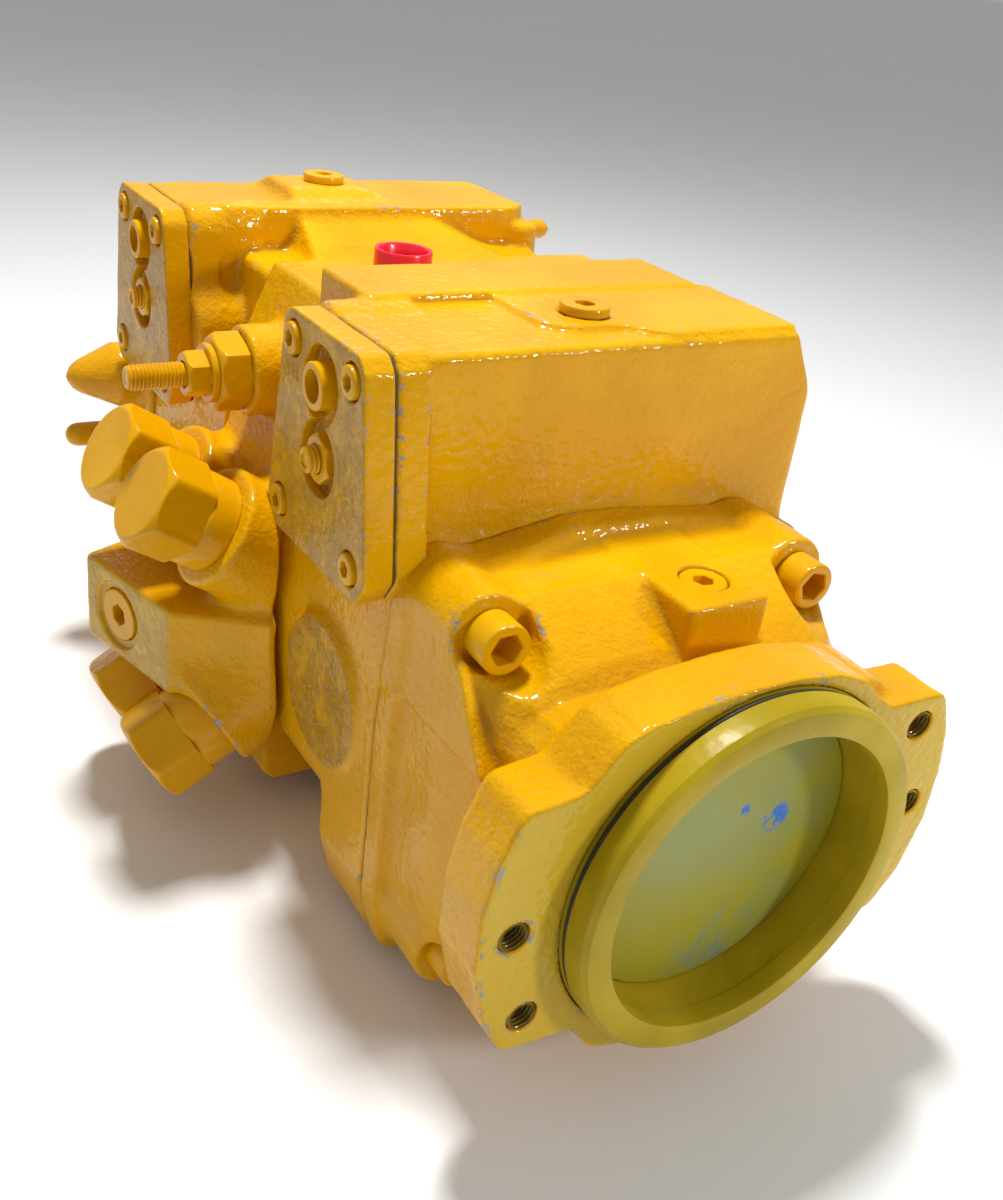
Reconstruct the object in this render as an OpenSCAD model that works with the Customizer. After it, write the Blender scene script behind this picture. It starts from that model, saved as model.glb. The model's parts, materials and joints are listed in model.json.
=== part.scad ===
// Closed-circuit tandem axial piston pump: two swashplate units, back to back on one port block.
// The origin is the centre of the pilot on the mounting face. +Y runs along the shaft to the rear,
// +Z is up. The front unit is drawn once, and the rear unit is its mirror image.

/* [Mounting flange] */
// Outside diameter of the pilot
pilot_d = 160; // [158:0.5:161]
// Height of the pilot in front of the mounting face
pilot_h = 14.5; // [12:0.5:16]
// Bore inside the pilot
pilot_bore_d = 134; // [130:1:136]
// Thickness of the flange ears
flange_t = 28; // [24:1:30]
// Bolt circle of the flange
bolt_circle_d = 200; // [198:1:202]
// Angle between the two holes of one ear
ear_hole_angle = 25; // [24:1:27]
// Tapped hole of the flange, at its thread's crests
flange_hole_d = 12; // [11:0.5:13]

/* [Rotating group] */
// Pitch radius of the pistons
pitch_r = 48; // [48:0.1:48.5]
// Radius of one piston
piston_r = 11; // [10.5:0.1:11]
// Radial clearance of a piston in its bore
piston_gap = 0.03; // [0.02:0.01:0.06]
// Radius of the ball at the end of a piston
ball_r = 7.5; // [7:0.1:7.5]
// Radius of the cylinder barrel
barrel_r = 68; // [66:0.5:68]
// Radius of the shaft
shaft_r = 17; // [16:0.5:17]

/* [Servo] */
// Radius of the servo piston
servo_r = 26; // [24:0.5:26]
// Distance from the tilt axis to the servo piston's axis
servo_arm = 55.5; // [55:0.1:56]
// Radius of the servo pin
pin_r = 7; // [6:0.5:7]

/* [Fasteners] */
// Thread diameter of the housing screws
housing_screw_d = 14; // [12:1:14]
// Thread diameter of the servo cover screws
cover_screw_d = 8; // [6:1:8]
// Width across flats of the relief valve plugs
relief_hex = 43; // [41:1:44]

/* [Hidden] */
$fn = 72;

// Stations along Y of the front unit
cover_face_y = 10.5;
cover_t = 4;
// Narrow groove at the root of the pilot, and the ring that lies in it
seal_groove_y = -0.3;
seal_groove_w = 2.2;
seal_groove_depth = 2.2;
seal_ring_r = 0.95;
seal_y0 = 18;
seal_y1 = 26;
bearing_y0 = 30;
bearing_y1 = 50;
head_y0 = 61;
head_y1 = 75;
pivot_y = 103;
seam_y = 121.5;
barrel_y0 = 128;
barrel_y1 = 226.95;
valve_plate_y0 = 227;
block_y0 = 233;
mid_y = 270.85;
gasket_t = 0.6;
far_y = 2 * mid_y;

// Swashplate and slippers
swash_face = pivot_y - 9;
swash_back = swash_face - 12;
swash_r = 66;
cradle_r = 52;
cradle_half_z = 52.5;
shell_t = 3;
shell_gap = 0.05;
slipper_gap = 0.25;
foot_r = 15;
foot_t = 3.75;
neck_r = 10;
piston_angles = [0, 40, 80, 120, 160];
ball_guide_r = 25;

// Housing
cavity_r = 74.5;
screw_x = 77;
screw_z = 78;
lower_left_cut_y = 168;
head_r = 10.5;

// Servo block: bore axis along X at servo_y, servo_z
servo_y = pivot_y + servo_arm;
servo_z = 133;
servo_left = -97.9;
servo_right = 116;
servo_back = 195.5;
servo_top = 169.5;
platform_top = 172;
strip_top = 173.5;
cover_inner_x = -98.7;
cover_outer_x = -111.7;
upper_hole_z = 147.7;
lower_hole_z = 117.8;
cover_holes = [[26.4, 158.2], [-26.4, 158.2], [34.2, 85.7], [-33.4, 85.7]];

// Port block
block_top = 156;
relief_y = 27.5;
relief_root = [-123, 52];
relief_lean = 59;
relief_body_r = 22.5;
relief_len = 38;
relief_neck = 14;
charge_z = 115;
arm_lean = 15.7;
arm_plug = [-156.3, 286.8, -13.5];
red_port = [-9, 291];
gauge_port = [34, 287];
work_port_r = 12.5;
side_port_x = 104;
side_port_z = 46;
base_port_x = 36;
base_port_z = -96;
port_bolt_long = 57.2;
port_bolt_short = 27.8;
port_bolt_r = 5.1;
stud_places = [[-62, 80], [62, 80], [-64, -78], [64, -78]];
nose = [-88, 98, 55];
// Outline of the nose, as radius and height from its root
nose_outline = [[0, -2], [18.5, -2], [18.5, 22], [9.5, 42], [6, 47], [0, 49.5]];
bleed = [92, 183.7, 157];
bleed_r = 5.5;
side_bleed = [-97, 448, 18];
// Plug on top of each servo block, and the rear unit's raised pad under it
front_top_plug = [6, 157, 176];
rear_top_plug = [-10, 155, 181];
rear_pad_top = 177;
boss_plug = [17, 66, 90];

paint = "goldenrod";
steel = "silver";

// ---- helpers ----

// Extrudes an outline in x and z from y0 to y1
module along_y(y0, y1) {
    translate([0, y1, 0]) rotate([90, 0, 0]) linear_extrude(y1 - y0) children();
}

// Extrudes an outline in y and z from x0 to x1
module along_x(x0, x1) {
    translate([x0, 0, 0]) rotate([90, 0, 90]) linear_extrude(x1 - x0) children();
}

// A round rod along Y
module rod_y(x, z, y0, y1, r) {
    translate([x, y0, z]) rotate([-90, 0, 0]) cylinder(h = y1 - y0, r = r);
}

// A round rod along X
module rod_x(y, z, x0, x1, r) {
    translate([x0, y, z]) rotate([0, 90, 0]) cylinder(h = x1 - x0, r = r);
}

// A box given by two corners
module block(low, high) {
    translate(low) cube(high - low);
}

// A tube along Y about the shaft's axis
module tube_y(y0, y1, outer, inner) {
    difference() {
        rod_y(0, 0, y0, y1, outer);
        rod_y(0, 0, y0 - 1, y1 + 1, inner);
    }
}

// The same thing in the rear unit
module mirrored() {
    translate([0, far_y, 0]) mirror([0, 1, 0]) children();
}

// In both units
module both_units() {
    children();
    mirrored() children();
}

// A polygon with rounded corners
module rounded(points, r) {
    offset(r = r, $fn = 32) offset(delta = -r) polygon(points);
}

// Hexagonal prism along Z, width w across flats, with its outer corners turned off at the top
module hex_head(w, h) {
    intersection() {
        cylinder(h = h, r = w / sqrt(3), $fn = 6);
        cylinder(h = h, r1 = w / 2 + h * 1.7, r2 = w / 2 * 0.97);
    }
}

// Socket in a screw's head, opening at z = 0 and going down
module hex_socket(w, depth) {
    translate([0, 0, -depth]) cylinder(h = depth + 0.1, r = w / sqrt(3), $fn = 6);
}

// Cap screw along Z, its head's top at z = 0, its shank going down
module cap_screw(d, head_radius, head_h, length) {
    difference() {
        union() {
            translate([0, 0, -head_h]) cylinder(h = head_h, r = head_radius);
            translate([0, 0, -head_h - length]) cylinder(h = length + 1, r = d / 2 - 0.05);
        }
        hex_socket(d * 0.857, d * 0.55);
    }
}

// Points of a spline's outline with n teeth
function spline_points(n, root, tip) = [
    for (i = [0:n - 1], p = [[-0.3, root], [-0.2, tip], [0.2, tip], [0.3, root]])
    p[1] * [cos((i + p[0]) * 360 / n), sin((i + p[0]) * 360 / n)]];

// ---- castings ----

// Outline of the pump's body where its housings meet
module body_outline() {
    rounded([[-60, -112], [60, -112], [86, -100], [98, -60], [100, 20], [113, 60], [113, 80], [60, 92],
        [25, 97], [-16, 97], [-45, 92], [-77, 87], [-92, 70], [-97, 10], [-97, -74], [-91, -104]], 6);
    for (x = [-screw_x, screw_x], z = [-screw_z, screw_z]) {
        translate([x, z]) circle(r = 14);
    }
}

// The lower left corner that is cut away behind the housing screws' threads
module lower_left_cut(y0, y1) {
    along_y(y0, y1) polygon([[-98, -48], [-62, -104], [-62, -120], [-110, -120], [-110, -48]]);
}

// Flange face: two ears between z = -57 and 55, and the round middle
module flange_outline() {
    difference() {
        union() {
            intersection() {
                circle(r = 115);
                rounded([[-118, -57], [118, -57], [118, 55], [-118, 55]], 10);
            }
            circle(r = 86);
            rounded([[-60, -77], [60, -77], [60, 75], [-60, 75]], 8);
        }
        circle(r = pilot_bore_d / 2);
    }
}

// Room for the swashplate and the servo arm inside the front housing
module front_cavity() {
    intersection() {
        rod_y(0, 0, bearing_y1, seam_y + 1, cavity_r);
        union() {
            block([-73, bearing_y1, -61], [73, 82, 61]);
            block([-80, 74, -80], [80, seam_y + 1, 80]);
        }
    }
    block([-24, 78, 60], [24, seam_y + 1, 83]);
}

// Blocks that carry the cradle bearings, above and below the shaft
module cradle_seats() {
    difference() {
        for (side = [-1, 1]) {
            translate([0, 0, side * 49]) block([-40, bearing_y1 - 1, -11.5], [40, 64, 11.5]);
        }
        translate([0, pivot_y, -70]) cylinder(h = 140, r = cradle_r + shell_t);
    }
}

// Grooves of the cradle bearings in the floor of the cavity
module cradle_grooves() {
    for (side = [-1, 1]) {
        translate([0, pivot_y, side * 46 - 8.1]) cylinder(h = 16.2, r = cradle_r + shell_t);
    }
}

// The tapering shell behind the flange, out to the seam
module housing_shell() {
    hull() {
        along_y(flange_t - 4, flange_t) rounded([[-84, -72], [84, -72], [84, 72], [-84, 72]], 30);
        along_y(61, 62) rounded([[-90, -88], [92, -88], [92, 86], [-90, 86]], 30);
        along_y(seam_y - 12, seam_y - gasket_t / 2) body_outline();
    }
}

// Solid of the end housing, without its holes: the same at the front and at the rear
module end_housing_body() {
    difference() {
        union() {
            difference() {
                union() {
                    housing_shell();
                    for (x = [-screw_x, screw_x], z = [-screw_z, screw_z]) {
                        rod_y(x, z, head_y1, seam_y - gasket_t / 2, 16);
                    }
                }
                front_cavity();
                cradle_grooves_room();
            }
            cradle_seats();
        }
        // screw holes, and room for the heads
        for (x = [-screw_x, screw_x], z = [-screw_z, screw_z]) {
            rod_y(x, z, head_y1 - 1, seam_y + 1, housing_screw_d / 2 + 0.5);
            rod_y(x, z, flange_t + 6, head_y1, head_r + 2.5);
        }
        // corner left free for the servo cover's pad
        block([-120, 104, 70], [-83.5, seam_y + 1, 130]);
        rod_y(0, 0, bearing_y0 - 0.5, bearing_y1 + 1, 36);
    }
}

// The shells' grooves reach a little under the cavity's floor
module cradle_grooves_room() {
    intersection() {
        cradle_grooves();
        block([-60, 40, -60], [60, 64, 60]);
    }
}

module front_housing() color(paint) {
    difference() {
        union() {
            end_housing_body();
            rod_y(0, 0, flange_t - 6, bearing_y0 + 2, 60);
            along_y(0, flange_t) flange_outline();
            tube_y(cover_face_y + cover_t, flange_t, 80, 24);
            tube_y(-pilot_h, 1, pilot_d / 2, pilot_bore_d / 2);
            block([-4, 44.5, 60], [36, 84, 90]);
        }
        // seal ring's groove at the root of the pilot
        difference() {
            rod_y(0, 0, seal_groove_y - seal_groove_w, seal_groove_y, pilot_d / 2 + 1);
            rod_y(0, 0, seal_groove_y - seal_groove_w - 1, 1, pilot_d / 2 - seal_groove_depth);
        }
        // tapped holes in the ears
        for (a = [0, ear_hole_angle, 180, 180 + ear_hole_angle]) {
            rod_y(bolt_circle_d / 2 * cos(a), bolt_circle_d / 2 * sin(a), -1, 24, flange_hole_d / 2);
        }
        rod_y(0, 0, seal_y0, seal_y1, 28);
        rod_y(0, 0, cover_face_y, bearing_y0 + 1, 24);
        rod_y(0, 0, bearing_y0 - 0.5, bearing_y1 + 1, 36);
        translate([boss_plug.x, boss_plug.y, boss_plug.z - 14]) cylinder(h = 15, r = 10);
        front_cavity();
    }
    cradle_seat_pads();
}

// The seats again, joined to the housing after the cavity is cut
module cradle_seat_pads() {
    difference() {
        cradle_seats();
        rod_y(0, 0, bearing_y0, bearing_y1 + 1, 36);
    }
}

// The rear end: closed, with a round raised pad and a cast nose at its side
module rear_cover() color(paint) mirrored() {
    difference() {
        union() {
            end_housing_body();
            rod_y(0, 0, 21, bearing_y0 + 2, 58);
            tube_y(bearing_y0, bearing_y0 + 1, 60, 36);
            translate(nose) rotate([0, -90, 0]) rotate_extrude() polygon(nose_outline);
        }
        rod_y(0, 0, bearing_y0 - 0.5, bearing_y1 + 1, 36);
        front_cavity();
    }
    cradle_seat_pads();
}

// Outline of the servo block seen from above, in x and y
module servo_plan() {
    rounded([[-87, seam_y], [servo_right, seam_y], [servo_right, 168], [88, servo_back],
        [-87, servo_back]], 4);
}

// Servo cover's outline in y and z, and the pad behind it
module servo_cover_outline() {
    rounded([[servo_y - 31, 170], [servo_y + 31, 170], [servo_y + 37, 164], [servo_y + 48, 84],
        [servo_y + 40, 72], [servo_y - 40, 72], [servo_y - 48, 84], [servo_y - 37, 164]], 5);
}

// Servo block: the right end has its upper corner cut off on a slant
module servo_block() {
    intersection() {
        translate([0, 0, 70]) linear_extrude(servo_top - 70) servo_plan();
        along_y(seam_y + gasket_t / 2, servo_back)
            polygon([[-87, 60], [servo_right, 60], [servo_right, 138], [99, servo_top + 1],
                [-87, servo_top + 1]]);
    }
    translate([0, 0, servo_top - 1]) linear_extrude(platform_top - servo_top + 1)
        rounded([[-20, seam_y + 1], [97, seam_y + 1], [97, 186], [-78, 186], [-78, 180], [-27, 180]], 3);
    along_x(servo_left, -84) intersection() {
        servo_cover_outline();
        translate([seam_y - 11, 60]) square([servo_back - seam_y + 16, 120]);
    }
    // boss of the bleed screw at the block's right end
    translate([96, servo_back - 6, 118]) cylinder(h = 45, r = 11);
}

// Pump housing of one unit, seam to port block
module pump_housing(plug) {
    difference() {
        union() {
            children();
            along_y(seam_y + gasket_t / 2, block_y0 - gasket_t / 2) body_outline();
            servo_block();
            block([-72, servo_back - 20, 80], [100, block_y0 - gasket_t / 2, 150]);
            rod_x(170, 0, -100, -80, 35);
        }
        rod_y(0, 0, seam_y - 1, block_y0 + 1, cavity_r);
        block([-33, seam_y - 1, 60], [33, 172, 84]);
        block([-26, 146, 80], [26, 170.5, 112]);
        rod_x(servo_y, servo_z, servo_left - 1, 66, servo_r + 0.04);
        for (x = [-screw_x, screw_x], z = [-screw_z, screw_z]) {
            rod_y(x, z, seam_y - 1, 162, housing_screw_d / 2);
        }
        for (p = stud_places) {
            rod_y(p[0], p[1], 205, block_y0 + 1, 7);
        }
        for (p = cover_holes) {
            rod_x(servo_y + p[0], p[1], servo_left - 1, -85, cover_screw_d / 2);
        }
        translate([plug.x, plug.y, 162]) cylinder(h = 20, r = 8);
        rod_x(bleed.y, bleed.z, bleed.x, servo_right + 1, bleed_r + 0.1);
        lower_left_cut(lower_left_cut_y, block_y0 + 1);
    }
}

// The front unit's top runs back to the port block, a little above the platform
module front_pump_housing() color(paint) pump_housing(front_top_plug) {
    block([-80, servo_back - 8, 140], [91, block_y0 - gasket_t / 2, strip_top]);
}

// The rear unit's plug stands on a raised pad that slopes down to the platform
module rear_pump_housing() color(paint) mirrored() pump_housing(rear_top_plug) hull() {
    block([-36, 139, 160], [9, 171, rear_pad_top]);
    block([-38, 131, 160], [22, 184, platform_top - 0.5]);
}

// Puts +Z along a relief valve's axis, away from the block; side is 1 above and -1 below
module at_relief(y, side) {
    lean = side > 0 ? -relief_lean : relief_lean - 180;
    translate([relief_root[0], y, side * relief_root[1]]) rotate([0, lean, 0]) children();
}

module each_relief() {
    for (dy = [-relief_y, relief_y], side = [-1, 1]) {
        at_relief(mid_y + dy, side) children();
    }
}

// Puts +Z along the outward normal of the arm's slanted end
module at_arm_plug() {
    translate(arm_plug) rotate([0, 0, arm_lean]) rotate([0, -90, 0]) children();
}

module port_block_body() {
    lo = block_y0 + gasket_t / 2;
    hi = far_y - lo;
    along_y(lo, hi) rounded([[-92, -96], [98, -96], [side_port_x, -90], [side_port_x, 100], [112, 110],
        [112, block_top], [-72, block_top], [-72, 96], [-98, 60], [-98, -90]], 4);
    // bosses of the relief valves, beside the housings but clear of them
    intersection() {
        each_relief() translate([0, 0, -45]) cylinder(h = 45, r = 29);
        union() {
            block([-170, lo, -120], [0, hi, 120]);
            block([-170, lo - 30, -120], [-100.5, hi + 30, 120]);
        }
    }
    // boss of the charge relief valve
    rod_x(mid_y, charge_z, -100, -60, 21);
    // slanted side arm
    translate([0, 0, -37]) linear_extrude(47)
        polygon([[-90, 234], [-100.5, 234], [-100.5, 212], [-144, 243], [-163.5, 314], [-144, 322],
            [-100.5, 336], [-100.5, 307], [-90, 307]]);
}

module work_port_holes() {
    for (z = [-side_port_z, side_port_z]) {
        rod_x(mid_y, z, 52, side_port_x + 1, work_port_r);
        for (a = [-0.5, 0.5], b = [-0.5, 0.5]) {
            rod_x(mid_y + a * port_bolt_short, z + b * port_bolt_long,
                side_port_x - 24, side_port_x + 1, port_bolt_r);
        }
    }
    for (x = [-base_port_x, base_port_x]) {
        translate([x, mid_y, base_port_z - 1]) cylinder(h = 46, r = work_port_r);
        for (a = [-0.5, 0.5], b = [-0.5, 0.5]) {
            translate([x + a * port_bolt_short, mid_y + b * port_bolt_long, base_port_z - 1])
                cylinder(h = 24, r = port_bolt_r);
        }
    }
}

module port_block() color(paint) {
    difference() {
        port_block_body();
        rod_y(0, 0, block_y0 - 1, far_y - block_y0 + 1, 26);
        each_relief() {
            cylinder(h = 60, r = relief_body_r + 2);
            translate([0, 0, -41]) cylinder(h = 42, r = 9);
        }
        for (p = stud_places) {
            rod_y(p[0], p[1], block_y0 - 1, far_y - block_y0 + 1, 7.5);
        }
        rod_x(mid_y, charge_z, -101, -58, 12);
        at_arm_plug() {
            translate([0, 0, -20]) cylinder(h = 21, r = 13.5);
            translate([0, 0, -2.5]) cylinder(h = 4, r = 18);
        }
        translate([red_port.x, red_port.y, block_top - 20]) cylinder(h = 21, r = 12.1);
        translate([gauge_port.x, gauge_port.y, block_top - 12]) cylinder(h = 13, r = 7);
        work_port_holes();
        both_units() kidney_slots(block_y0, block_y0 + 15);
    }
}

// Two kidney-shaped slots on the pitch circle
module kidney_slots(y0, y1) {
    for (turn = [0, 180]) {
        translate([0, y1, 0]) rotate([90, 0, 0]) rotate([0, 0, turn - 55])
            rotate_extrude(angle = 110) translate([pitch_r - 4, 0]) square([8, y1 - y0]);
    }
}

// ---- covers, gaskets and fasteners ----

module servo_cover() {
    difference() {
        along_x(cover_outer_x, cover_inner_x) servo_cover_outline();
        for (p = cover_holes) {
            rod_x(servo_y + p[0], p[1], cover_outer_x - 1, cover_inner_x + 1, cover_screw_d / 2 + 0.4);
            rod_x(servo_y + p[0], p[1], cover_outer_x - 1, cover_outer_x + 6, 7);
        }
        for (z = [upper_hole_z, lower_hole_z]) {
            rod_x(servo_y, z, cover_outer_x - 1, cover_outer_x + 6, 15.5);
        }
        rod_x(servo_y, upper_hole_z, cover_outer_x, cover_inner_x + 1, 9.5);
        rod_x(servo_y, lower_hole_z, cover_outer_x, cover_inner_x + 1, 6);
    }
}

module front_servo_cover() color(paint) servo_cover();

module rear_servo_cover() color(paint) mirrored() servo_cover();

// Gasket between two housings, with holes for the screws or studs at the given places
module body_gasket(y, places) {
    difference() {
        along_y(y - gasket_t / 2, y + gasket_t / 2) offset(delta = -1) body_outline();
        rod_y(0, 0, y - 1, y + 1, cavity_r + 0.5);
        block([-34, y - 1, 0], [34, y + 1, 85]);
        block([-120, y - 1, 68], [-83, y + 1, 130]);
        for (p = places) {
            rod_y(p[0], p[1], y - 1, y + 1, housing_screw_d / 2 + 0.6);
        }
        if (y > lower_left_cut_y) {
            lower_left_cut(y - 1, y + 1);
        }
    }
}

module servo_gasket() {
    difference() {
        along_x(cover_inner_x, servo_left) intersection() {
            offset(delta = -1) servo_cover_outline();
            translate([seam_y - 10, 60]) square([servo_back - seam_y + 14, 120]);
        }
        rod_x(servo_y, servo_z, cover_inner_x - 1, servo_left + 1, servo_r + 1);
        for (p = cover_holes) {
            rod_x(servo_y + p[0], p[1], cover_inner_x - 1, servo_left + 1, cover_screw_d / 2 + 0.8);
        }
    }
}

module gaskets() color("dimgray") both_units() {
    body_gasket(seam_y, [for (x = [-screw_x, screw_x], z = [-screw_z, screw_z]) [x, z]]);
    intersection() {
        body_gasket(block_y0, stud_places);
        block([-96, block_y0 - 2, -94], [103, block_y0 + 2, 99]);
    }
    servo_gasket();
}

module servo_cover_screws() color(steel) both_units() {
    for (p = cover_holes) {
        translate([cover_outer_x - 2, servo_y + p[0], p[1]]) rotate([0, -90, 0])
            cap_screw(cover_screw_d, 6.5, 8, 19);
    }
}

module housing_screws() color(paint) both_units() {
    for (x = [-screw_x, screw_x], z = [-screw_z, screw_z]) {
        translate([x, head_y0, z]) rotate([90, 0, 0])
            cap_screw(housing_screw_d, head_r, head_y1 - head_y0, 84);
    }
}

module port_block_studs() color(steel) {
    for (p = stud_places) {
        rod_y(p[0], p[1], 208, far_y - 208, 6.95);
    }
}

module servo_port_plugs() color(steel) both_units() {
    difference() {
        rod_x(servo_y, upper_hole_z, cover_outer_x - 3.2, cover_inner_x - 1, 9.45);
        rod_x(servo_y, upper_hole_z, cover_outer_x - 5, cover_outer_x + 6, 6.6);
    }
}

module stroke_limit_screws() color(steel) both_units() {
    difference() {
        rod_x(servo_y, lower_hole_z, cover_outer_x - 4.2, -80, 5.95);
        translate([cover_outer_x - 4.2, servo_y, lower_hole_z]) rotate([0, -90, 0]) hex_socket(6, 5);
    }
}

module stroke_limit_nuts() color(steel) both_units() {
    translate([cover_outer_x + 5.9, servo_y, lower_hole_z]) rotate([0, -90, 0]) difference() {
        hex_head(19, 6);
        translate([0, 0, -1]) cylinder(h = 9, r = 6);
    }
}

// ---- valves and plugs on the port block ----

module charge_relief_body() color(paint) translate([-100, mid_y, charge_z]) rotate([0, -90, 0]) difference() {
    union() {
        translate([0, 0, -38]) cylinder(h = 39, r = 11.95);
        hex_head(32, 15);
        translate([0, 0, 14]) cylinder(h = 3, r = 13.5);
    }
    translate([0, 0, -10]) cylinder(h = 40, r = 6.05);
}

module charge_relief_screw() color(steel) rod_x(mid_y, charge_z, -153, -92, 6);

module charge_relief_nut() color(paint) translate([-117, mid_y, charge_z]) rotate([0, -90, 0]) difference() {
    hex_head(19, 10);
    translate([0, 0, -1]) cylinder(h = 12, r = 6.05);
}

module relief_valve_plugs() color(paint) each_relief() {
    translate([0, 0, -40]) cylinder(h = 41, r = 8.95);
    cylinder(h = relief_neck, r = relief_body_r);
    translate([0, 0, relief_neck]) hex_head(relief_hex, relief_len - relief_neck);
}

// Socket plug along Z with its top at z = 0
module socket_plug(r, depth, socket) {
    difference() {
        translate([0, 0, -depth]) cylinder(h = depth, r = r);
        hex_socket(socket, depth * 0.5);
    }
}

module collar_plug() {
    difference() {
        union() {
            translate([0, 0, -14]) cylinder(h = 12, r = 7.95);
            translate([0, 0, -4]) cylinder(h = 4, r = 10.8);
        }
        hex_socket(8, 7);
    }
}

module port_plugs() color(paint) {
    at_arm_plug() translate([0, 0, -1.5]) socket_plug(13.4, 15, 10);
    translate(boss_plug) socket_plug(9.9, 12, 8);
    translate(front_top_plug) collar_plug();
    mirrored() translate(rear_top_plug) collar_plug();
    translate([gauge_port.x, gauge_port.y, block_top + 1]) socket_plug(6.9, 12, 6);
}

module bleed_screws() color(paint) {
    both_units() {
        rod_x(bleed.y, bleed.z, bleed.x, servo_right - 1, bleed_r);
        translate([servo_right - 1, bleed.y, bleed.z]) sphere(r = bleed_r);
    }
    translate(side_bleed) rotate([0, -90, 0]) {
        cylinder(h = 34, r = 7);
        translate([0, 0, 34]) sphere(r = 7);
    }
}

// ---- seals, caps and bearings ----

module seals() color("black") {
    tube_y(seal_y0, seal_y1, 28, 20.05);
    translate([0, seal_groove_y - seal_groove_w / 2, 0]) rotate([90, 0, 0])
        rotate_extrude() translate([pilot_d / 2 - seal_groove_depth + seal_ring_r + 0.1, 0])
        circle(r = seal_ring_r);
}

module bore_cover() color("olivedrab") {
    rod_y(0, 0, cover_face_y, cover_face_y + cover_t - 0.05, pilot_bore_d / 2 - 0.05);
}

module port_cap() color("crimson") translate([red_port.x, red_port.y, block_top]) difference() {
    union() {
        translate([0, 0, -12]) cylinder(h = 13, r = 12.05);
        translate([0, 0, 0.05]) cylinder(h = 8.5, r = 14.5);
    }
    translate([0, 0, -10]) cylinder(h = 20, r = 10.8);
}

module bearing_outer_rings() color(steel) both_units() tube_y(bearing_y0, bearing_y1, 35.98, 31);

module bearing_rollers() color(steel) both_units() {
    for (i = [0:15]) {
        rotate([0, i * 22.5, 0]) rod_y(28.5, 0, bearing_y0 + 2, bearing_y1 - 2, 2.45);
    }
}

module port_block_bushes() color("peru") both_units() tube_y(236, 252, 25.98, shaft_r + 0.05);

module cradle_bearings() color("tan") both_units() {
    for (side = [-1, 1]) {
        translate([0, pivot_y, side * 46 - 8]) rotate([0, 0, -130]) rotate_extrude(angle = 80)
            translate([cradle_r + shell_gap, 0]) square([shell_t - shell_gap - 0.02, 16]);
    }
}

module valve_plates() color("darkgoldenrod") both_units() difference() {
    tube_y(valve_plate_y0, block_y0 - 0.35, swash_r, 20);
    kidney_slots(valve_plate_y0 - 1, block_y0 + 1);
}

// ---- rotating groups ----

// Half of the drive line: a splined socket at the outer end, the bearing's race, and the splined shaft
module shaft(start, socketed) {
    difference() {
        union() {
            rod_y(0, 0, start, bearing_y1, 20);
            rod_y(0, 0, bearing_y0, bearing_y1, 26);
            rod_y(0, 0, bearing_y1, mid_y - 3, shaft_r);
        }
        if (socketed) {
            along_y(16, 46) polygon(spline_points(16, 12, 10.5));
        }
        spline_cut(130, 222);
        spline_cut(253, mid_y);
    }
}

// Cuts the spline's teeth into the shaft between two stations
module spline_cut(y0, y1) {
    difference() {
        rod_y(0, 0, y0, y1, shaft_r + 1);
        along_y(y0 - 1, y1 + 1) polygon(spline_points(20, shaft_r - 1.5, shaft_r - 0.02));
    }
}

module front_shaft() color(steel) shaft(17, true);

module rear_shaft() color(steel) mirrored() shaft(bearing_y0, false);

module shaft_coupling() color(steel) difference() {
    rod_y(0, 0, 254, far_y - 254, 23);
    along_y(253, far_y - 253) polygon(spline_points(20, shaft_r - 1.45, shaft_r + 0.03));
}

module barrel() {
    difference() {
        rod_y(0, 0, barrel_y0, barrel_y1, barrel_r);
        along_y(barrel_y0 - 1, barrel_y1 + 1) polygon(spline_points(20, shaft_r - 1.45, shaft_r + 0.03));
        rod_y(0, 0, barrel_y0 - 1, 150, 20.5);
        rod_y(0, 0, 221, barrel_y1 + 1, 20.5);
        for (i = [0:8]) {
            rotate([0, i * 40, 0]) {
                rod_y(pitch_r, 0, barrel_y0 - 1, 208, piston_r + piston_gap);
                rod_y(pitch_r, 0, 207, barrel_y1 + 1, 4);
            }
        }
    }
}

module front_barrel() color("dimgray") barrel();

module rear_barrel() color("dimgray") mirrored() barrel();

// Turned ball guide: a ball about the tilt axis that runs into a hub, bored for the shaft
module ball_guides() color(steel) both_units() {
    bore = shaft_r + 0.02;
    hub_r = 21;
    front = -6;
    back = barrel_y0 - 0.5 - pivot_y;
    first = asin(front / ball_guide_r);
    last = acos(hub_r / ball_guide_r);
    ball = [for (a = [first:(last - first) / 10:last + 0.01]) ball_guide_r * [cos(a), sin(a)]];
    translate([0, pivot_y, 0]) rotate([-90, 0, 0]) rotate_extrude()
        polygon(concat([[bore, front]], ball, [[hub_r, back], [bore, back]]));
}

// Tilting plate with its cradle, and the arm and pin that the servo piston moves
module swashplate() {
    difference() {
        union() {
            rod_y(0, 0, swash_back, swash_face, swash_r);
            intersection() {
                translate([0, pivot_y, -cradle_half_z]) cylinder(h = 2 * cradle_half_z, r = cradle_r);
                block([-70, 40, -70], [70, swash_back + 1, 70]);
            }
        }
        rod_y(0, 0, swash_back - 2, swash_face + 1, 25);
        block([-36, 40, -19.5], [36, swash_back, 19.5]);
    }
    block([-13, swash_back, 58], [13, swash_face, 81]);
    block([-13, swash_back, 70.5], [13, servo_y + 7, 81]);
    translate([0, servo_y, 80]) cylinder(h = 46, r = pin_r);
}

module front_swashplate() color("slategray") swashplate();

module rear_swashplate() color("slategray") mirrored() swashplate();

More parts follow.
